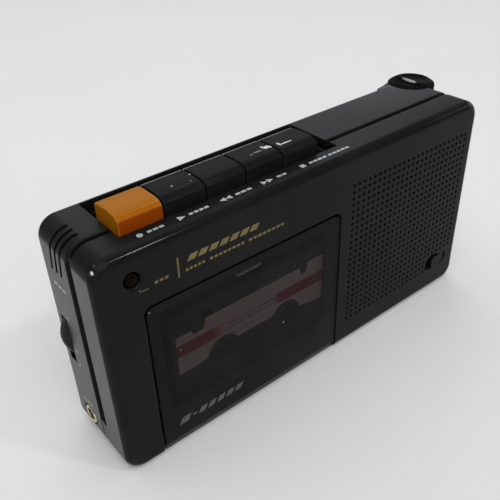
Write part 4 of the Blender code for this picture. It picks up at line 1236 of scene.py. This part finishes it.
def dashes(x0, x1, c, height, count, gap=0.32, lean=0.0):
    """A row of blank blocks standing where a caption would run."""
    width = (x1 - x0 - gap * (count - 1)) / count
    starts = [x0 + i * (width + gap) for i in range(count)]
    return [bar(start, start + width, c, height, lean) for start in starts]


ROW = -8.85  # y of the row of marks in front of the keys
marks("transport_symbols", [
    circle(-48.2, ROW, 0.72, 20), *dashes(-46.4, -42.4, ROW, 0.75, 3),
    triangle(-38.8, -36.9, ROW, 1.7), *dashes(-36.0, -30.9, ROW, 0.75, 4),
    triangle(-26.2, -27.8, ROW, 1.6), triangle(-24.6, -26.15, ROW, 1.6),
    *dashes(-23.4, -18.9, ROW, 0.75, 3),
    triangle(-15.8, -14.2, ROW, 1.6), triangle(-14.15, -12.5, ROW, 1.6),
    *dashes(-11.2, -8.4, ROW, 0.75, 2),
    bar(-3.8, -2.4, ROW, 1.35), *dashes(-1.0, 4.6, ROW, 0.75, 4),
    *dashes(5.4, 12.4, ROW, 0.75, 5),
], "XY", TOP, "white_ink", 1)
marks("front_rules", [
    bar(-42.6, -42.2, 53.2, 5.2), *dashes(-39.6, -20.4, 54.5, 1.5, 7, 0.75, 0.5),
    *dashes(-40.6, -35.6, 51.75, 0.62, 5, 0.4), *dashes(-34.2, -24.6, 51.75, 0.62, 8, 0.4),
    *dashes(-23.2, -12.6, 51.75, 0.62, 8, 0.4),
    bar(-52.2, -49.9, 51.6, 0.22), bar(-52.2, -51.95, 51.9, 0.8),
    *dashes(-48.4, -45.0, 52.3, 0.7, 3, 0.4),
], "XZ", FRONT, "gold_ink", -1)
marks("door_rule", [
    *dashes(-46.6, -43.9, 8.2, 2.0, 1, 0.4, 0.5), *dashes(-43.0, -41.8, 8.2, 0.5, 1),
    *dashes(-40.8, -27.4, 8.2, 1.7, 5, 0.9, 0.5),
], "XZ", FRONT, "grey_ink", -1, body="door", slot="door")
marks("end_marks", [
    *dashes(2.6, 8.2, 47.5, 0.9, 3, 0.6, -0.25), triangle(5.2, 6.4, 38.2, 1.2),
    triangle(4.9, 3.6, 29.0, 1.2), bar(4.4, 5.2, 24.3, 1.0),
    *dashes(3.2, 7.4, 11.4, 0.8, 3, 0.5),
], "YZ", LEFT, "white_ink", -1)

# ---- CAD nodes kept as they are: material, then node names
CARRIED = {
    "steel": "door_hinge_pin_left door_hinge_pin_right key_pivot_shaft speaker_frame"
             " speaker_magnet deck_plate motor capstan_shaft head_slide pinch_roller_pin"
             " case_screw_1 case_screw_2 case_screw_3 case_screw_4",
    "spring": "door_spring key_spring_1 key_spring_2 key_spring_3 key_spring_4 key_spring_5"
              " battery_spring_left battery_spring_right",
    "nickel": "microphone_capsule volume_potentiometer speed_switch record_play_head"
              " battery_contact_left battery_contact_bridge",
    "brass": "motor_pulley flywheel",
    "rubber": "drive_belt idler_wheel pinch_roller",
    "bracket": "key_bracket erase_head",
    "white": "supply_spindle takeup_spindle",
    "capacitor": "capacitor_large",
    "chip": "amplifier_chip",
    "battery": "battery_lower battery_upper",
    "cone": "speaker_cone",
    "board": "circuit_board",
}
for mat, names in CARRIED.items():
    for name in names.split():
        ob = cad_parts[name]
        ob.data.materials.clear()
        ob.data.materials.append(MATS[mat])
        if mat == "spring" or name == "drive_belt":
            continue  # round wire and belt have no edges to soften
        weld = ob.modifiers.new("weld", "WELD")
        weld.merge_threshold = 0.00001
        soften(ob, 0.12)
        weighted = ob.modifiers.new("weighted", "WEIGHTED_NORMAL")
        weighted.keep_sharp = False


# ---- floor
def floor_material():
    mat = Shader("pale_floor")
    colour = mat.mix(mat.noise(0.01), (0.72, 0.72, 0.705), (0.75, 0.75, 0.74))
    return mat.surface(colour, 0.75, spec=0.2)


FLOOR_HALF, FLOOR_Z = 3000, -0.02
floor = make("floor", [(x * FLOOR_HALF, y * FLOOR_HALF, FLOOR_Z)
                       for x, y in ((-1, -1), (1, -1), (1, 1), (-1, 1))],
             [(0, 1, 2, 3)], floor_material(), smooth=False)
floor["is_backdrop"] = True

# ---- world: light rising with height; the camera sees a plain pale backdrop instead
BACKDROP, SKY_SLOPE, SKY_LEVEL = 0.72, 0.16, 0.19
world = bpy.data.worlds.new("studio")
bpy.context.scene.world = world
world.use_nodes = True
tree = world.node_tree
background = tree.nodes["Background"]
background.inputs[0].default_value = (0.93, 0.95, 1.0, 1.0)
direction = add_node(tree, "SeparateXYZ", {0: add_node(tree, "TexCoord").outputs["Generated"]})
level = add_node(tree, "Math", {0: direction.outputs[2], 1: SKY_SLOPE, 2: SKY_LEVEL},
                 operation="MULTIPLY_ADD")
camera_ray = add_node(tree, "LightPath").outputs["Is Camera Ray"]
shown = add_node(tree, "Mix", {0: camera_ray, 2: level.outputs[0], 3: BACKDROP},
                 data_type="FLOAT")
tree.links.new(shown.outputs[0], background.inputs[1])


# ---- lights, in metres
def softbox(name, place, size, watts, aim=(0, 0, 0.03), colour=(1, 1, 1)):
    data = bpy.data.lights.new(name, "AREA")
    data.shape = "RECTANGLE"
    data.size, data.size_y = size
    data.energy = watts
    data.color = colour
    ob = bpy.data.objects.new(name, data)
    bpy.context.scene.collection.objects.link(ob)
    ob.location = place
    ob.rotation_mode = "QUATERNION"
    ob.rotation_quaternion = (Vector(aim) - Vector(place)).to_track_quat("-Z", "Y")


softbox("window", place=(-0.12, 0.36, 0.95), size=(1.2, 1.2), watts=4.0, aim=(0, 0, 0),
        colour=(1.0, 1.0, 0.985))
softbox("fill", place=(-0.5, -1.0, 1.35), size=(1.9, 1.6), watts=19.0, aim=(0, 0, 0))
softbox("lamp", place=(0.56, -0.92, 1.28), size=(0.14, 0.14), watts=3.4, aim=(0, 0, 0.05))
softbox("side", place=(1.7, -0.35, 0.62), size=(1.2, 0.9), watts=4.5)
softbox("wall", place=(1.2, 1.82, 1.17), size=(1.7, 0.8), watts=8.6, colour=(0.93, 0.96, 1.0))

# ---- camera
CAMERA_AXES = Matrix((
    (0.776401, -0.629424, -0.032047),  # right
    (0.377729, 0.424024, 0.823118),  # up
    (-0.504502, -0.651175, 0.566965),  # backwards
))
camera = bpy.data.cameras.new("camera")
camera.lens = 47.42
camera.sensor_width = 36.0
camera.clip_start, camera.clip_end = 0.005, 20.0
camera_ob = bpy.data.objects.new("camera", camera)
bpy.context.scene.collection.objects.link(camera_ob)
camera_ob.rotation_mode = "QUATERNION"
camera_ob.rotation_quaternion = CAMERA_AXES.transposed().to_quaternion()
camera_ob.location = (-0.099487, -0.111497, 0.134839)
bpy.context.scene.camera = camera_ob
bpy.context.scene.view_settings.view_transform = "Standard"
bpy.context.scene.view_settings.look = "None"

lo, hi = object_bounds()
